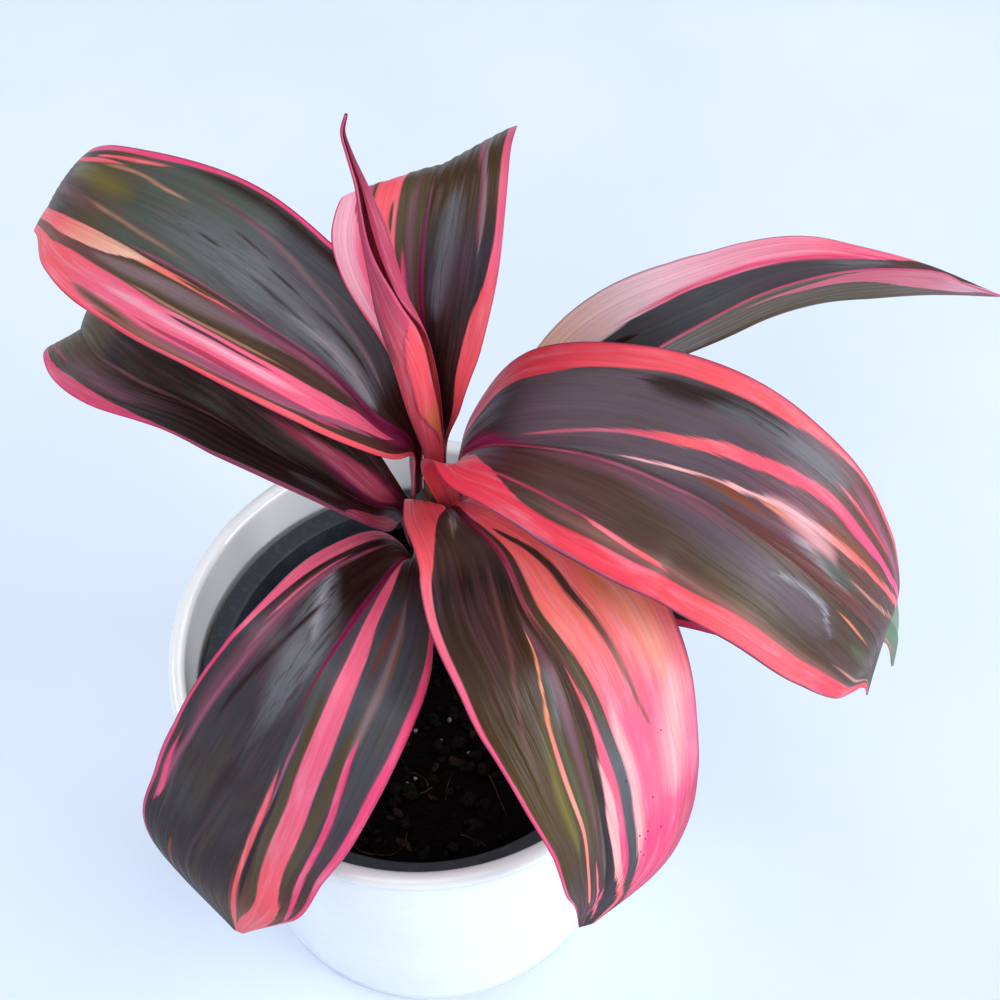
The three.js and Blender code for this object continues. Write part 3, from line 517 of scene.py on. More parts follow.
# Small things that lie in the potting mix. Seen are the places of those that the photograph shows.
LITTER = {
    "peat_crumbs": {
        "material": "peat_crumb",
        "count": 420, "seen": [], "sizes": (0.7, 2.3), "shape": (1, 0.9, 0.7), "sunk": 0.35, "uneven": 0.25,
        "dark": (0.0015, 0.001, 0.001, 1), "light": (0.009, 0.005, 0.004, 1),
        "fineness": 0.8, "roughness": 1.0,
    },
    "perlite_grains": {
        "material": "perlite_grain",
        "count": 14, "seen": [(8, -11), (9, -8), (5.5, -18), (-2, -30), (14, -22), (-14, -38)],
        "sizes": (0.4, 0.9), "shape": (1, 0.9, 0.8), "sunk": 0.35, "uneven": 0.25,
        "dark": (0.08, 0.08, 0.075, 1), "light": (0.3, 0.3, 0.29, 1),
        "fineness": 1.5, "roughness": 0.9,
    },
    "bark_chips": {
        "material": "bark_chip",
        "count": 50, "seen": [(-9, -43), (-7, -41), (3, -36), (-16, -30), (10, -25)],
        "sizes": (1.2, 2.8), "shape": (1.2, 0.55, 0.3), "sunk": 0.25, "uneven": 0.15,
        "dark": (0.006, 0.003, 0.0025, 1), "light": (0.032, 0.014, 0.01, 1),
        "fineness": 0.6, "roughness": 0.9,
    },
}
ROOTS = {
    "material": "root_fibre",
    "loop": [(-21, -49), (-18, -53), (-13, -54.5), (-8, -54), (-5, -51), (-4, -47)],
    "count": 14, "bends": 5, "radius": 0.28, "around": 6, "steps": 24,
    "dark": (0.02, 0.01, 0.007, 1), "light": (0.06, 0.03, 0.02, 1), "fineness": 0.5, "roughness": 0.85,
}

# Each light's compass angle from +X towards +Y and its height, in degrees, and its size, power and colour.
# The distance, the target and the sizes are in metres.
LIGHT_DISTANCE = 1.7
LIGHT_TARGET = (0, 0, 0.2)
LIGHTS = {
    "key_from_the_back_right": (40, 40, 1.0, 7.5, (1.0, 0.99, 0.97)),
    "high_fill_from_the_front": (-90, 65, 1.4, 9, (1.0, 1.0, 1.0)),
    "fill_from_the_front_left": (-120, 40, 1.4, 6.5, (1.0, 1.0, 1.0)),
    "fill_from_the_left": (165, 48, 0.9, 11, (0.93, 0.97, 1.0)),
    "low_fill_from_the_right": (-22, 14, 0.9, 24, (0.93, 0.97, 1.0)),
}
ROOM = {"colour": (0.86, 0.93, 1.0, 1), "strength": 0.3}
FLOOR_REACH = 6.0  # metres from the middle to each side


def linear(name):
    """A named colour as the linear RGBA that a shader takes."""
    code = COLOURS[name]
    shares = [int(code[i:i + 2], 16) / 255 for i in (0, 2, 4)]
    return [c / 12.92 if c <= 0.04045 else ((c + 0.055) / 1.055) ** 2.4 for c in shares] + [1]


# Curves


def catmull(points, t):
    """Points of the centripetal Catmull-Rom curve through points, at parameters t from 0 to 1."""
    p = np.asarray(points, float)
    x = t * (len(p) - 1)
    i = np.minimum(np.floor(x).astype(int), len(p) - 2)
    w = (x - i)[:, None]
    q = np.vstack([2 * p[0] - p[1], p, 2 * p[-1] - p[-2]])
    p0, p1, p2, p3 = q[i], q[i + 1], q[i + 2], q[i + 3]
    t0, t1, t2 = (np.sqrt(np.linalg.norm(b - a, axis=1))[:, None] for a, b in ((p0, p1), (p1, p2), (p2, p3)))
    m1 = ((p1 - p0) / t0 - (p2 - p0) / (t0 + t1) + (p2 - p1) / t1) * t1
    m2 = ((p2 - p1) / t1 - (p3 - p1) / (t1 + t2) + (p3 - p2) / t2) * t1
    return p1 + m1 * w + (-3 * p1 + 3 * p2 - 2 * m1 - m2) * w**2 + (2 * p1 - 2 * p2 + m1 + m2) * w**3


def evenly(points, shares):
    """Parameters that lie at the given shares of a curve's length, and the length."""
    t = np.linspace(0, 1, 400)
    steps = np.linalg.norm(np.diff(catmull(points, t), axis=0), axis=1)
    lengths = np.concatenate([[0], np.cumsum(steps)])
    return np.interp(shares * lengths[-1], lengths, t), lengths[-1]


def along(values, shares):
    """Values listed at equal steps, joined by a smooth curve."""
    v = np.asarray(values, float)
    x = shares * (len(v) - 1)
    i = np.minimum(np.floor(x).astype(int), len(v) - 2)
    w = x - i
    m = np.gradient(v)
    start = v[i] * (1 + 2 * w) * (1 - w) ** 2 + m[i] * w * (1 - w) ** 2
    return start + v[i + 1] * w**2 * (3 - 2 * w) - m[i + 1] * w**2 * (1 - w)


def unit(vectors):
    """Vectors of length 1 in the same directions."""
    return vectors / np.linalg.norm(vectors, axis=-1, keepdims=True)


def frames(path, shares, side=None, roll=None):
    """Middle points of a path with its right and up directions there, and its length."""
    t, length = evenly(path, shares)
    middle = catmull(path, t)
    tangent = unit(catmull(path, np.clip(t + 0.001, 0, 1)) - catmull(path, np.clip(t - 0.001, 0, 1)))
    if side is None:
        right = unit(np.cross(middle[-1] - middle[0], [0, 0, 1]))
    else:
        right = np.array([math.cos(math.radians(side)), math.sin(math.radians(side)), 0])
    right = unit(right - (tangent @ right)[:, None] * tangent)
    up = np.cross(right, tangent)
    angle = np.radians(along(roll or [0, 0], shares))[:, None]
    c, s = np.cos(angle), np.sin(angle)
    return middle, right * c + up * s, up * c - right * s, length


def waves(x, y, rng, count=6, size=1.0):
    """A smooth random height from a few crossed waves, about -1 to 1, with the given typical wave length."""
    total = np.zeros(np.broadcast(x, y).shape)
    for _ in range(count):
        angle, phase = rng.uniform(0, 2 * math.pi, 2)
        k = 2 * math.pi / (size * rng.uniform(0.7, 1.6))
        total += np.sin(k * (x * math.cos(angle) + y * math.sin(angle)) + phase)
    return total / math.sqrt(count)


def turns(count):
    """Angles at equal steps round a circle."""
    return np.arange(count) * 2 * math.pi / count


# Meshes


def link(name, data):
    """A new object in the scene."""
    made = bpy.data.objects.new(name, data)
    bpy.context.scene.collection.objects.link(made)
    return made


def make_piece(name, points, faces, material, node=None):
    """A closed mesh piece in the shared frame, from points in millimetres."""
    mesh = bpy.data.meshes.new(name)
    mesh.from_pydata((np.asarray(points) * MM).tolist(), [], [[int(i) for i in face] for face in faces])
    mesh.materials.append(material)
    mesh.polygons.foreach_set("use_smooth", [True] * len(mesh.polygons))
    mesh.update()
    piece = link(name, mesh)
    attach(piece, "root")
    if node:
        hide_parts(node)
    return piece


def give(piece, name, values):
    """Stores a vector at every point of a piece, for its material to read."""
    attribute = piece.data.attributes.new(name, "FLOAT_VECTOR", "POINT")
    attribute.data.foreach_set("vector", np.asarray(values, np.float32).ravel())


def rings_to_faces(rings, around, clockwise=False):
    """Outward quads that join rings of points, and a fan at each end round a point that follows the rings."""
    first = np.arange(rings - 1)[:, None] * around
    here = np.arange(around)
    after = (here + 1) % around
    quads = np.stack([first + here, first + after, first + around + after, first + around + here], -1)
    faces = quads.reshape(-1, 4).tolist()
    start, end = rings * around, rings * around + 1
    last = (rings - 1) * around
    faces += [[start, b, a] for a, b in zip(here, after)]
    faces += [[end, last + a, last + b] for a, b in zip(here, after)]
    return [face[::-1] for face in faces] if clockwise else faces


# Leaves


def leaf_surface(leaf, shares, across):
    """Points of the leaf's middle surface, and its length."""
    middle, right, up, length = frames(leaf["path"], shares, leaf.get("side"), leaf.get("roll"))
    points = np.zeros((len(shares), len(across), 3))
    for column, u in enumerate(across):
        half = leaf["left"] if u < 0 else leaf["right"]
        width = np.maximum(along(half["width"], shares), 0.4)
        turn = np.radians(along(half["curl"], shares)) * abs(u) / 2
        chord = width * abs(u) * np.sinc(turn / math.pi)
        angle = np.radians(along(half["fold"], shares)) + turn
        sideways = math.copysign(1, u) * chord * np.cos(angle)
        points[:, column] = middle + right * sideways[:, None] + up * (chord * np.sin(angle))[:, None]
    return points, length


def vein_place(shares, place):
    """Where a point lies across the veins, which leave the midrib and run on to the edge."""
    lean = np.clip(VEINS["lean"] * (shares - VEINS["lean_from"]), 0, VEINS["most_lean"])
    across = (np.abs(place) - lean) / (1 - lean) * VEINS["in_a_half"]
    return np.sign(place) * (across + VEINS["halves_apart"])


def ringed(upper, lower):
    """Values of the upper and the lower face as rings round the blade, with one for each end after them."""
    rows = np.concatenate([upper, lower[:, -2:0:-1]], axis=1)
    ends = [rows[0].mean(axis=0, keepdims=True), rows[-1].mean(axis=0, keepdims=True)]
    return np.concatenate([rows.reshape((-1,) + rows.shape[2:])] + ends)


def leaf_piece(node, leaf, number):
    """One leaf as a thin closed blade with a rib below, a groove above and shallow pleats along its veins."""
    rng = np.random.default_rng(SEED + number)
    shares = 1 - np.linspace(1, 0, BLADE["steps"]) ** BLADE["crowding"]
    even = np.linspace(-1, 1, 2 * BLADE["across"] + 1)
    across = np.sign(even) * (0.45 * np.abs(even) + 0.55 * even**2 * (3 - 2 * np.abs(even)))
    surface, length = leaf_surface(leaf, shares, across)
    normal = unit(np.cross(np.gradient(surface, axis=1), np.gradient(surface, axis=0)))
    place = np.broadcast_to(across, surface.shape[:2])
    shares = shares[:, None]
    veins = vein_place(shares, place)

    wide = along(leaf["left"]["width"], shares) + along(leaf["right"]["width"], shares)
    pleats = np.cos(veins * 2 * math.pi / BLADE["veins_to_a_pleat"]) * (1 - np.abs(place) ** 6)
    ripples = waves(shares * length, place * BLADE["ripple_across"], rng, size=BLADE["ripple_length"])
    calm = np.clip(wide / BLADE["calm_below"], 0, 1)
    rise = (BLADE["pleat"] * pleats + BLADE["ripple"] * ripples * place**2) * calm
    surface = surface + normal * rise[:, :, None]

    off_rib = np.abs(place) * wide / 2
    body = BLADE["thickness"] / 2 * np.sqrt(np.maximum(1 - np.abs(place) ** 20, 0))
    taper = (1 - shares) ** 0.7
    groove = BLADE["groove"] * np.exp(-((off_rib / BLADE["groove_width"]) ** 2)) * taper
    rib = BLADE["rib"] * np.exp(-((off_rib / BLADE["rib_width"]) ** 2)) * taper
    top = surface + normal * (body - groove)[:, :, None]
    bottom = surface - normal * (body + rib)[:, :, None]
    for edge in (0, -1):
        bottom[:, edge] = top[:, edge] = surface[:, edge]

    faces = rings_to_faces(len(shares), 2 * len(across) - 2)
    piece = make_piece(node + "_blade", ringed(top, bottom), faces, leaf_material(node, leaf), node)
    reached = np.broadcast_to(shares, place.shape)
    below = ringed(np.zeros(place.shape), np.ones(place.shape))
    give(piece, "blade", np.stack([ringed(reached, reached), ringed(place, place), below], -1))
    give(piece, "grain", np.stack([length * ringed(reached, reached), ringed(veins, veins), below], -1))


# Pots


def arc(centre, radius, start, end, steps):
    """Points of an arc in an outline, from a start to an end angle in degrees."""
    angles = np.radians(np.linspace(start, end, steps))
    return [(centre[0] + radius * math.cos(a), centre[1] + radius * math.sin(a)) for a in angles]


def line(start, end, steps):
    """Points between two outline points, without the ends."""
    return [tuple(np.asarray(start) + (np.asarray(end) - start) * i / steps) for i in range(1, steps)]


def turned_piece(name, outline, material, node):
    """A piece turned round Z from (radius, height) points, from the axis below to the axis inside."""
    radius, height = np.hsplit(np.asarray(outline[1:-1], float), 2)
    angles = turns(TURNED_STEPS)
    rings = np.stack([radius * np.cos(angles), radius * np.sin(angles), height + 0 * angles], -1)
    points = np.vstack([rings.reshape(-1, 3), [(0, 0, outline[0][1]), (0, 0, outline[-1][1])]])
    return make_piece(name, points, rings_to_faces(len(radius), TURNED_STEPS), material, node)


def cachepot_piece():
    """The glazed outer pot: a shallow foot, a tapered wall and a rolled lip."""
    c = CACHEPOT
    base, edge, corner = c["base_radius"], c["edge"], c["corner"]
    roll = (c["lip"] - 0.5) / 2
    lip_middle = (c["rim_radius"] + c["lip_proud"] - roll, c["height"] - roll)
    outer_top = (c["rim_radius"], c["height"] - c["lip"] - 2)
    inner_top = (c["rim_radius"] - c["wall"], c["height"] - c["lip"] - 1)
    inner_base = (base - c["wall"] + 0.6, c["floor"] + corner)
    foot = base - c["foot_width"]
    outline = [(0, c["foot_lift"]), (foot - c["foot_slope"], c["foot_lift"]), (foot, 0)]
    outline += arc((base - edge, edge), edge, -90, -10, 6)
    outline += line((base, edge), outer_top, 24) + [outer_top]
    outline += arc(lip_middle, roll, -60, 180, 18)
    outline += [inner_top] + line(inner_top, inner_base, 18)
    outline += arc((inner_base[0] - corner, inner_base[1]), corner, 0, -90, 6)
    outline += [(20, c["floor"]), (0, c["floor"])]
    turned_piece("cachepot_glazed", outline, glaze_material(), "cachepot")


def nursery_wall(height):
    """Radius of the grow pot's outer wall at a height above its floor."""
    n = NURSERY
    slope = (n["rim_radius"] - n["lip_width"] + n["wall"] - n["base_radius"]) / n["height"]
    return n["base_radius"] + slope * height


def nursery_piece():
    """The plastic grow pot: a thin tapered wall, a broad turned-down lip and drainage holes in its floor."""
    n = NURSERY
    floor, tall, wall, corner, edge = n["floor"], n["height"], n["wall"], n["corner"], n["lip_edge"]
    rim, lip = floor + tall, n["rim_radius"]
    skin = lip - n["lip_skin"]
    neck = rim - n["lip_drop"]
    under_lip = (nursery_wall(tall - 3), rim - 3)
    outline = [(0, floor), (n["base_radius"] - 2, floor)]
    outline += arc((n["base_radius"] - corner, floor + corner), corner, -90, -5, 5)
    outline += line((n["base_radius"], floor + corner), under_lip, 24)
    outline += [under_lip, (skin - 0.3, rim - 3), (skin, rim - 3.5)]
    outline += [(skin, neck), (lip - 1.1, neck - 0.2), (lip - 0.1, neck), (lip, neck + 0.6)]
    outline += arc((lip - edge, rim - edge), edge, 0, 90, 6)
    outline += arc((nursery_wall(tall) - wall + edge, rim - edge), edge, 90, 180, 6)
    inner_base = (nursery_wall(wall) - wall, floor + wall)
    outline += line((nursery_wall(tall) - wall, rim - 1.5), inner_base, 20)
    outline += [(inner_base[0] - 1, inner_base[1]), (0, inner_base[1])]
    drill(turned_piece("nursery_pot_moulded", outline, plastic_material(), "nursery_pot"))


def drill(piece):
    """Cuts the drainage holes through the grow pot's floor."""
    n = NURSERY
    cutter = bmesh.new()
    radius = n["hole_radius"] * MM
    for angle in turns(n["holes"]):
        made = bmesh.ops.create_cone(cutter, cap_ends=True, segments=32, radius1=radius, radius2=radius,
                                     depth=n["drill_length"] * MM)
        x, y = n["hole_circle"] * math.cos(angle), n["hole_circle"] * math.sin(angle)
        bmesh.ops.translate(cutter, verts=made["verts"], vec=(x * MM, y * MM, n["floor"] * MM))
    mesh = bpy.data.meshes.new("drainage")
    cutter.to_mesh(mesh)
    cutter.free()
    tool = link("drainage", mesh)
    modifier = piece.modifiers.new("drainage", "BOOLEAN")
    modifier.operation = "DIFFERENCE"
    modifier.object = tool
    cut = bpy.data.meshes.new_from_object(piece.evaluated_get(bpy.context.evaluated_depsgraph_get()))
    piece.modifiers.clear()
    piece.data = cut
    bpy.data.objects.remove(tool)


# Potting mix


def soil_height(x, y):
    """Height of the potting mix at a place, crowned a little and lumpy."""
    rng = np.random.default_rng(SEED)
    rise = SOIL["crown"] * (1 - (x**2 + y**2) / SOIL["radius"] ** 2)
    lumps = [waves(x, y, rng, count, length) * height for count, length, height in SOIL["lumps"]]
    return SOIL["level"] + rise + sum(lumps)


def soil_piece():
    """The bed of potting mix that fills the grow pot, lumpy on top."""
    inside = NURSERY["wall"] + SOIL["clearance"]
    foot = NURSERY["floor"] + inside
    angles = turns(SOIL["spokes"])
    sides = [(nursery_wall(z - foot) - inside, z) for z in np.linspace(foot, SOIL["level"] - 3, 12)]
    rings = [np.stack([r * np.cos(angles), r * np.sin(angles), 0 * angles + z], -1)
             for r, z in [(NURSERY["base_radius"] - inside - 4, foot)] + sides]
    for r in np.linspace(SOIL["radius"] - 0.3, 0.6, SOIL["rings"]):
        x, y = r * np.cos(angles), r * np.sin(angles)
        rings.append(np.stack([x, y, soil_height(x, y)], -1))
    points = np.vstack(rings + [[(0, 0, foot)], [(0, 0, soil_height(0.0, 0.0))]])
    faces = rings_to_faces(len(rings), SOIL["spokes"])
    make_piece("potting_mix_bed", points, faces, soil_material(), "soil")


def scattered(rng, count, radius=56):
    """Random places on the potting mix, clear of the cane."""
    places = []
    while len(places) < count:
        r, angle = radius * math.sqrt(rng.random()), rng.uniform(0, 2 * math.pi)
        x, y = r * math.cos(angle), r * math.sin(angle)
        if math.hypot(x - CANE["foot"][0], y - CANE["foot"][1]) > CANE["clear_radius"]:
            places.append((x, y))
    return places


def turned_by(points, angle, first, second):
    """Points turned by an angle from one axis towards another."""
    matrix = np.eye(3)
    matrix[first, first] = matrix[second, second] = math.cos(angle)
    matrix[first, second] = math.sin(angle)
    matrix[second, first] = -math.sin(angle)
    return points @ matrix


def litter_piece(name, kind, rng):
    """Many small irregular lumps in one mesh, each sunk a little into the potting mix."""
    places = kind["seen"] + scattered(rng, kind["count"] - len(kind["seen"]))
    sizes = rng.uniform(*kind["sizes"], kind["count"])
    ball = bmesh.new()
    bmesh.ops.create_icosphere(ball, subdivisions=2, radius=1)
    base = np.array([v.co[:] for v in ball.verts])
    faces = np.array([[v.index for v in f.verts] for f in ball.faces])
    ball.free()
    points = []
    for (x, y), size in zip(places, sizes):
        bumps = waves(base[:, 0] + 9 * rng.random(), base[:, 1] + base[:, 2], rng, 4, 1.6)
        stretch = np.asarray(kind["shape"]) * rng.uniform(0.7, 1.25, 3) * size
        form = base * (1 + kind["uneven"] * bumps[:, None]) * stretch
        turn, tilt = rng.uniform(0, 2 * math.pi), rng.uniform(-0.5, 0.5)
        form = turned_by(turned_by(form, tilt, 1, 2), turn, 0, 1)
        low, high = form[:, 2].min(), form[:, 2].max()
        z = soil_height(np.float64(x), np.float64(y)) - low - kind["sunk"] * (high - low)
        points.append(form + (x, y, z))
    all_faces = (faces[None] + (np.arange(len(points)) * len(base))[:, None, None]).reshape(-1, 3)
    make_piece(name, np.vstack(points), all_faces, litter_material(kind))


def tube_points(middle, right, up, size, angles):
    """Rings of points round a path, with its two ends after them."""
    outward = right[:, None] * np.cos(angles)[:, None] + up[:, None] * np.sin(angles)[:, None]
    return np.vstack([(middle[:, None] + size * outward).reshape(-1, 3), middle[:1], middle[-1:]])


def root_paths(rng):
    """Fine roots that lie on the potting mix, one of them the loop at the front edge."""
    flat = [ROOTS["loop"]]
    for x, y in scattered(rng, ROOTS["count"], 50):
        angle, bend, length = rng.uniform(0, 2 * math.pi), rng.uniform(-1.4, 1.4), rng.uniform(6, 16)
        step = length / ROOTS["bends"]
        strand = [(x, y)]
        for _ in range(ROOTS["bends"]):
            x, y = x + step * math.cos(angle), y + step * math.sin(angle)
            angle += bend / (ROOTS["bends"] - 1)
            strand.append((x, y))
        flat.append(strand)
    return [[(x, y, float(soil_height(x, y)) + 0.25) for x, y in strand] for strand in flat]


def roots_piece(rng):
    """The fine roots as thin strands in one mesh."""
    shares = np.linspace(0, 1, ROOTS["steps"])
    size = ROOTS["radius"] * (1 - 0.6 * shares)[:, None, None]
    points, faces = [], []
    for path in root_paths(rng):
        middle, right, up, _ = frames(path, shares, side=0)
        start = sum(len(p) for p in points)
        points.append(tube_points(middle, right, up, size, turns(ROOTS["around"])))
        strand = rings_to_faces(ROOTS["steps"], ROOTS["around"], clockwise=True)
        faces += [[i + start for i in face] for face in strand]
    make_piece("root_fibres", np.vstack(points), faces, litter_material(ROOTS))


def cane_piece():
    """The woody cane with the raised scars that fallen leaves left round it."""
    rng = np.random.default_rng(SEED)
    shares = np.linspace(0, 1, CANE["steps"])
    middle, right, up, length = frames(CANE["path"], shares, side=0)
    angles = turns(CANE["around"])
    turned = shares[:, None] * length + SCARS["waver"] * np.sin(angles + SCARS["twist"] * shares[:, None])
    beat = (turned / SCARS["spacing"]) % 1
    ridge = SCARS["ridge"] * np.exp(-(((beat - SCARS["ridge_at"]) / SCARS["ridge_width"]) ** 2))
    crease = SCARS["crease"] * np.exp(-(((beat - SCARS["crease_at"]) / SCARS["crease_width"]) ** 2))
    bark = CANE["bark"] * waves(angles * 9 + 0 * turned, turned, rng, 8, CANE["bark_length"])
    size = along(CANE["radii"], shares)[:, None] - CANE["inside"] + ridge - crease + bark
    faces = rings_to_faces(CANE["steps"], CANE["around"], clockwise=True)
    points = tube_points(middle, right, up, size[:, :, None], angles)
    piece = make_piece("cane_bark", points, faces, bark_material(), "stem")
    wrap = np.stack([turned, 6 * angles + 0 * turned, beat], -1).reshape(-1, 3)
    give(piece, "bark", np.vstack([wrap, wrap[:1], wrap[-1:]]))


# Materials


class Paint:
    """Builds one material's nodes. Every call takes numbers, colours or other nodes' outputs."""

    def __init__(self, name):
        self.material = bpy.data.materials.new(name)
        self.material.use_nodes = True
        self.tree = self.material.node_tree
        self.shader = self.tree.nodes["Principled BSDF"]

    def put(self, socket, value):
        if isinstance(value, bpy.types.NodeSocket):
            self.tree.links.new(value, socket)
        elif value is not None:
            socket.default_value = value

    def node(self, kind, inputs=(), output=0, **settings):
        made = self.tree.nodes.new("ShaderNode" + kind)
        for key, value in settings.items():
            setattr(made, key, value)
        for key, value in dict(inputs).items():
            self.put(made.inputs[key], value)
        return made.outputs[output]

    def read(self, name):
        """A stored vector, split in its three parts, with the vector itself last."""
        vector = self.node("Attribute", attribute_name=name, output="Vector")
        return self.split(vector) + [vector]

    def point(self):
        """The piece's own coordinates, in millimetres."""
        return self.stretched(self.node("TexCoord", output="Object"), (1000, 1000, 1000))

    def split(self, vector):
        parts = self.node("SeparateXYZ", {0: vector}).node
        return [parts.outputs[i] for i in range(3)]

    def math(self, operation, a, b=None):
        return self.node("Math", {0: a, 1: b}, operation=operation)

    def times(self, a, b):
        return self.math("MULTIPLY", a, b)

    def apart(self, a, b):
        """How far two values lie apart."""
        return self.math("ABSOLUTE", self.math("SUBTRACT", a, b))

    def stretched(self, vector, factors):
        return self.node("VectorMath", {0: vector, 1: factors}, operation="MULTIPLY")

    def noise(self, vector, scale, detail=2.0, roughness=0.5):
        """Noise whose scale is one number, or one for each axis."""
        if isinstance(scale, tuple):
            vector, scale = self.stretched(vector, scale), 1.0
        inputs = {"Vector": vector, "Scale": scale, "Detail": detail, "Roughness": roughness}
        return self.node("TexNoise", inputs)

    def step(self, value, low, high):
        """0 below low, 1 above high and a soft change between."""
        inputs = {"Value": value, "From Min": low, "From Max": high}
        return self.node("MapRange", inputs, interpolation_type="SMOOTHSTEP")

    def remap(self, value, low, high, to_low, to_high):
        inputs = {"Value": value, "From Min": low, "From Max": high, "To Min": to_low, "To Max": to_high}
        return self.node("MapRange", inputs)

    def mix(self, share, a, b, blend="MIX"):
        """One colour over another. The upper one may be given by its name."""
        inputs = {"Factor": share, 6: a, 7: linear(b) if isinstance(b, str) else b}
        return self.node("Mix", inputs, output=2, data_type="RGBA", blend_type=blend)

    def ramp(self, value, colours):
        """Named colours along a value: a name, and then each next place in percent with its name."""
        words = ("0 " + colours).split()
        output = self.node("ValToRGB", {0: value})
        elements = output.node.color_ramp.elements
        while len(elements) < len(words) / 2:
            elements.new(0.5)
        for element, place, name in zip(elements, words[::2], words[1::2]):
            element.position = float(place) / 100
            element.color = linear(name)
        return output

    def bump(self, height, distance, strength=1.0, normal=None):
        inputs = {"Height": height, "Distance": distance * MM, "Strength": strength, "Normal": normal}
        return self.node("Bump", inputs)

    def surface(self, **values):
        for key, value in values.items():
            self.put(self.shader.inputs[key.replace("_", " ")], value)
        return self.material


def course(paint, share, points, soft):
    """Centre and half width of a streak at each share of the leaf's length."""
    curves = paint.node("VectorCurve", {"Vector": paint.node("CombineXYZ", {0: share, 1: share, 2: 0})})
    mapping = curves.node.mapping
    mapping.extend = "HORIZONTAL"
    listed = [[float(number) / 100 for number in point.split()] for point in points.split(",")]
    centres = [(at, centre) for at, centre, _ in listed]
    halves = [(at, half or -max(FADE, soft)) for at, _, half in listed]
    for curve, places in zip(mapping.curves, (centres, halves)):
        while len(curve.points) < len(places):
            curve.points.new(0, 0)
        for point, place in zip(curve.points, places):
            point.location = place
            point.handle_type = "AUTO_CLAMPED"
    mapping.update()
    return paint.split(curves)[:2]


def streak_mask(paint, share, place, points, soft=SOFT):
    """1 inside a streak and 0 outside it."""
    centre, half = course(paint, share, points, soft / 100)
    inside = paint.math("SUBTRACT", half, paint.apart(place, centre))
    return paint.step(inside, -soft / 100, soft / 100)


def leaf_ground(paint, leaf, share, place, patches):
    """The colours of the two halves, with mossy and dusky patches where they are dark."""
    left, right = (paint.ramp(share, leaf[half]["ground"]) for half in ("left", "right"))
    colour = paint.mix(paint.step(place, -0.03, 0.03), left, right)
    darkness = paint.step(paint.split(colour)[0], 0.3, 0.12)
    colour = paint.mix(paint.times(paint.remap(patches, 0.5, 0.75, 0, 0.5), darkness), colour, "olive")
    return paint.mix(paint.times(paint.remap(patches, 0.45, 0.25, 0, 0.45), darkness), colour, "dusk")


def leaf_streaks(paint, leaf, colour, frayed, share, place, grain, patches):
    """The streaks in their order. Those that are painted sheen are broken up along the veins."""
    # Dark dashes along the veins that break up the painted sheens.
    dashes = paint.noise(grain, (0.07, 0.7, 1), 4, 0.7)
    grooved = paint.math("ADD", dashes, paint.remap(patches, 0, 1, -0.12, 0.12))
    sheen_unbroken = paint.remap(grooved, 0.5, 0.62, 1, 0.2)
    for colours, points, *soft in leaf["streaks"]:
        mask = streak_mask(paint, frayed, place, points, *soft)
        if colours in PAINTED_SHEENS:
            mask = paint.times(mask, sheen_unbroken)
        colour = paint.mix(mask, colour, paint.ramp(share, colours) if " " in colours else colours)
    if "specks" in leaf:
        cells = paint.node("TexVoronoi", {"Vector": paint.stretched(grain, (0.3, 0.3, 1)), "Scale": 1.0})
        where = streak_mask(paint, frayed, place, leaf["specks"], 10)
        colour = paint.mix(paint.times(paint.step(cells, 0.14, 0.08), where), colour, "maroon")
    return colour


def leaf_fibres(paint, colour, pinkness, grain):
    """Fine lines along the veins, and paler bloom where the leaf is pink."""
    lines = paint.noise(grain, (0.025, 1.5, 1), 3, 0.6)
    colour = paint.mix(paint.times(paint.remap(lines, 0.52, 0.72, 0, 0.3), pinkness), colour, "hot_pink")
    bloom = paint.noise(grain, (0.05, 0.3, 1))
    colour = paint.mix(paint.times(paint.remap(bloom, 0.5, 0.8, 0, 0.35), pinkness), colour, "pale_pink")
    colour = paint.mix(paint.remap(paint.apart(lines, 0.5), 0, 0.01, 0.2, 0), colour, "crimson")
    fibres = paint.noise(grain, (0.02, 1.0, 1), 4, 0.65)
    return paint.mix(1.0, colour, paint.remap(fibres, 0.35, 0.65, 0.88, 1.12), "MULTIPLY")


def leaf_material(name, leaf):
    """The striped blade: a dark ground, streaks along the veins, some of them painted sheens, highlights and
    shade, a fine purple edge and a waxy gloss.
    """
    paint = Paint(name + "_stripes")
    share, place, below, _ = paint.read("blade")
    grain = paint.read("grain")[-1]
    ragged = paint.noise(grain, (0.035, 1.1, 1), 3, 0.6)
    drift = paint.noise(grain, (0.03, 0.12, 1), 1)
    patches = paint.noise(grain, (0.02, 0.22, 1))
    raggedness = paint.times(paint.remap(ragged, 0, 1, -0.024, 0.024), paint.step(share, 0.15, 0.5))
    frayed = paint.math("ADD", share, raggedness)
    swayed = paint.math("ADD", place, paint.remap(drift, 0, 1, -0.03, 0.03))
    swayed = paint.math("ADD", swayed, paint.remap(ragged, 0, 1, -0.01, 0.01))

    colour = leaf_ground(paint, leaf, frayed, swayed, patches)
    colour = leaf_streaks(paint, leaf, colour, frayed, share, swayed, grain, patches)
    pinkness = paint.step(paint.split(colour)[0], 0.15, 0.5)
    colour = leaf_fibres(paint, colour, pinkness, grain)
    edge = paint.step(paint.math("ABSOLUTE", place), 0.965, 1)
    colour = paint.mix(paint.times(edge, 0.6), colour, "magenta")
    underside = paint.times(paint.times(below, leaf["under_share"]), paint.remap(pinkness, 0, 1, 1, 0.55))
    colour = paint.mix(underside, colour, leaf["under"])

    ridges = paint.noise(grain, (0.012, 0.9, 1))
    puckers = paint.noise(grain, (0.06, 0.4, 1))
    relief = paint.bump(puckers, 0.5, 0.5, paint.bump(ridges, 0.3, 0.55))
    gloss = paint.remap(puckers, 0.3, 0.7, 0.34, 0.48)
    return paint.surface(Base_Color=colour, Roughness=gloss, Normal=relief, Specular_IOR_Level=0.22)


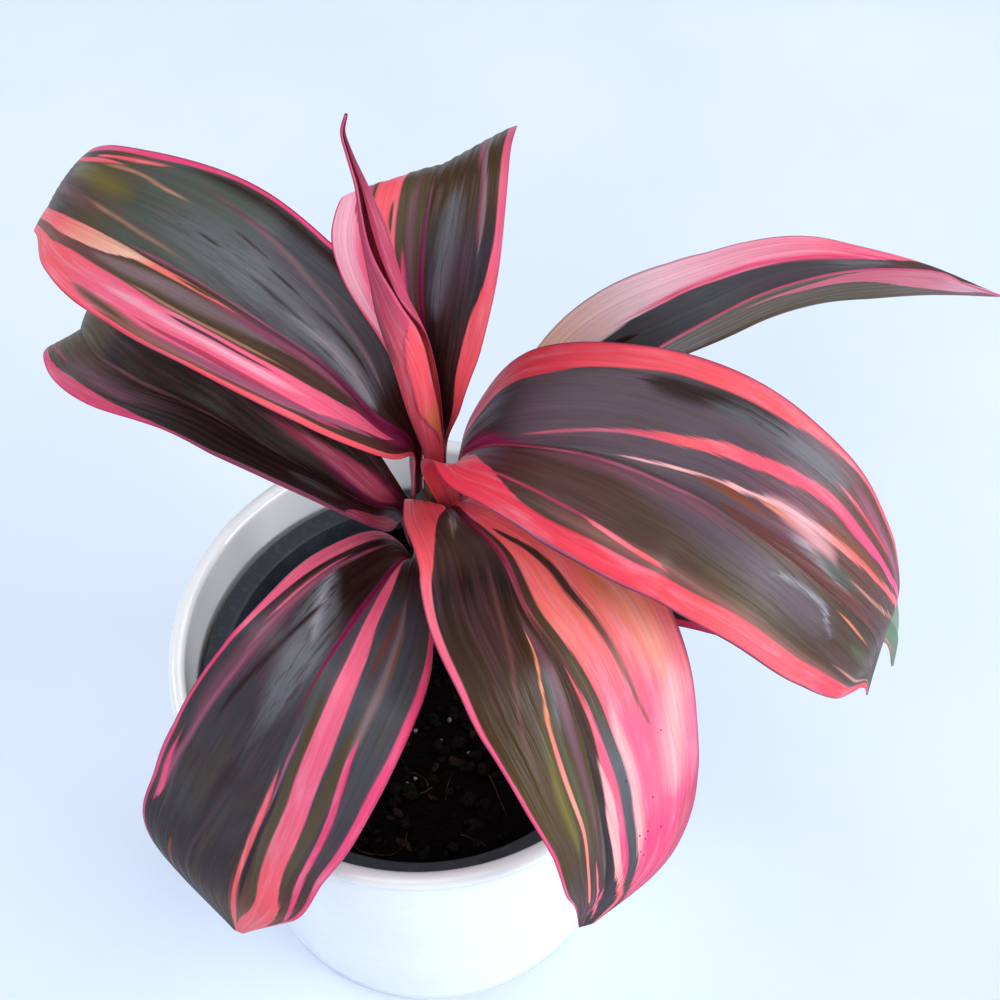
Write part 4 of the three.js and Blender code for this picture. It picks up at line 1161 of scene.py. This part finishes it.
def glaze_material():
    """White glaze: even and glossy, with a faint cloudiness and a slightly wavy skin."""
    paint = Paint("white_glaze")
    point = paint.point()
    cloud = paint.noise(point, 0.03, 3)
    tint = paint.mix(paint.remap(cloud, 0.3, 0.7, 0, 1), (0.90, 0.93, 0.97, 1), (0.94, 0.96, 0.99, 1))
    pits = paint.noise(point, 1.6)
    tint = paint.mix(paint.remap(pits, 0.72, 0.78, 0, 0.25), tint, (0.55, 0.56, 0.58, 1))
    return paint.surface(Base_Color=tint, Roughness=paint.remap(cloud, 0.3, 0.7, 0.1, 0.2), Coat_Weight=0.5,
                         Coat_Roughness=0.06, Normal=paint.bump(paint.noise(point, 0.09), 0.6, 0.25))


def plastic_material():
    """Dark slate plastic with a fine moulded texture, dusty near its rim."""
    paint = Paint("slate_plastic_moulded")
    point = paint.point()
    cloud = paint.noise(point, 0.08, 4)
    tint = paint.mix(cloud, (0.014, 0.019, 0.027, 1), (0.026, 0.035, 0.047, 1))
    near_rim = paint.step(paint.split(point)[2], 104, 122)
    dust = paint.times(near_rim, paint.step(paint.noise(point, 0.5, 5), 0.45, 0.75))
    tint = paint.mix(paint.times(dust, 0.2), tint, (0.12, 0.13, 0.15, 1))
    streaky = paint.noise(point, (0.25, 0.25, 0.03), 3)
    tint = paint.mix(paint.remap(streaky, 0.55, 0.75, 0, 0.2), tint, (0.08, 0.09, 0.105, 1))
    return paint.surface(Base_Color=tint, Roughness=paint.remap(cloud, 0.3, 0.7, 0.42, 0.6),
                         Normal=paint.bump(paint.noise(point, 2.2), 0.08, 0.5))


def soil_material():
    """Near-black peaty mix with brown fibres and dull crumbs."""
    paint = Paint("peaty_mix")
    point = paint.point()
    crumbs = paint.noise(point, 0.9, 6, 0.7)
    tint = paint.mix(paint.step(crumbs, 0.4, 0.75), (0.0015, 0.001, 0.001, 1), (0.006, 0.003, 0.003, 1))
    threads = paint.noise(point, (0.2, 2.2, 1), 4)
    tint = paint.mix(paint.remap(threads, 0.62, 0.7, 0, 0.6), tint, (0.014, 0.007, 0.005, 1))
    return paint.surface(Base_Color=tint, Roughness=paint.remap(crumbs, 0.3, 0.7, 0.95, 0.7),
                         Normal=paint.bump(crumbs, 0.8, 0.9), Specular_IOR_Level=0.03)


def litter_material(kind):
    """A small thing in the mix, mottled between two colours."""
    paint = Paint(kind["material"])
    mottle = paint.noise(paint.point(), kind["fineness"], 5, 0.65)
    tint = paint.mix(paint.step(mottle, 0.35, 0.7), kind["dark"], kind["light"])
    dull = paint.remap(mottle, 0.3, 0.7, kind["roughness"], kind["roughness"] - 0.2)
    relief = paint.bump(mottle, 0.4, 0.7)
    return paint.surface(Base_Color=tint, Roughness=dull, Normal=relief, Specular_IOR_Level=0.1)


def bark_material():
    """Green-brown bark, lighter along the leaf scars, with fine lengthwise cracks."""
    paint = Paint("cane_bark_rings")
    _, _, beat, bark = paint.read("bark")
    fine = paint.noise(bark, (0.15, 1.6, 0), 4, 0.6)
    tint = paint.mix(paint.step(fine, 0.3, 0.7), (0.09, 0.05, 0.03, 1), (0.24, 0.17, 0.10, 1))
    ring = paint.times(paint.step(beat, 0.42, 0.5), paint.step(beat, 0.66, 0.56))
    tint = paint.mix(paint.times(ring, 0.7), tint, (0.38, 0.30, 0.20, 1))
    return paint.surface(Base_Color=tint, Roughness=paint.remap(fine, 0.3, 0.7, 0.75, 0.55),
                         Normal=paint.bump(fine, 0.25, 0.7))


def floor_material():
    """Pale blue paper with a barely visible unevenness."""
    paint = Paint("pale_floor")
    point = paint.point()
    cloud = paint.noise(point, 0.008, 3)
    tint = paint.mix(paint.remap(cloud, 0.3, 0.7, 0, 1), (0.70, 0.79, 0.95, 1), (0.75, 0.83, 0.97, 1))
    return paint.surface(Base_Color=tint, Roughness=paint.remap(cloud, 0.3, 0.7, 0.8, 0.9),
                         Normal=paint.bump(paint.noise(point, 1.2, 3), 0.1, 0.2))


# Stage


def floor():
    """A plain square of floor under the pot."""
    mesh = bpy.data.meshes.new("floor")
    corners = [(x * FLOOR_REACH, y * FLOOR_REACH, 0) for x, y in ((-1, -1), (1, -1), (1, 1), (-1, 1))]
    mesh.from_pydata(corners, [], [(0, 1, 2, 3)])
    mesh.materials.append(floor_material())
    link("floor", mesh)


def softbox(name, azimuth, elevation, size, power, colour):
    """A square soft light that faces the plant."""
    a, e = math.radians(azimuth), math.radians(elevation)
    data = bpy.data.lights.new(name, "AREA")
    data.shape = "SQUARE"
    data.size = size
    data.energy = power
    data.color = colour
    light = link(name, data)
    way = np.array([math.cos(a) * math.cos(e), math.sin(a) * math.cos(e), math.sin(e)])
    light.location = way * LIGHT_DISTANCE + LIGHT_TARGET
    light.rotation_euler = (math.pi / 2 - e, 0, a + math.pi / 2)


def room():
    """Soft light from all round, and colours shown as they are."""
    world = bpy.data.worlds.new("pale_room")
    world.use_nodes = True
    background = world.node_tree.nodes["Background"]
    background.inputs["Color"].default_value = ROOM["colour"]
    background.inputs["Strength"].default_value = ROOM["strength"]
    bpy.context.scene.world = world
    bpy.context.scene.view_settings.view_transform = "Standard"


def camera():
    """The photograph's view: tilted down, with no shift and no depth of field."""
    tilt = math.radians(ELEVATION)
    data = bpy.data.cameras.new("camera")
    data.lens = LENS
    data.sensor_width = SENSOR_WIDTH
    data.clip_start = 0.05
    data.clip_end = 50
    made = link("camera", data)
    back = np.array([0, -math.cos(tilt), math.sin(tilt)])
    made.location = (np.array(AIM) + back * DISTANCE) * MM
    made.rotation_euler = (math.pi / 2 - tilt, 0, 0)
    bpy.context.scene.camera = made


# The scene

camera()
floor()
for name, settings in LIGHTS.items():
    softbox(name, *settings)
room()
cachepot_piece()
nursery_piece()
soil_piece()
cane_piece()
litter_rng = np.random.default_rng(SEED)
for name, kind in LITTER.items():
    litter_piece(name, kind, litter_rng)
roots_piece(litter_rng)
for number, (node, leaf) in enumerate(LEAVES.items()):
    leaf_piece(node, leaf, number)
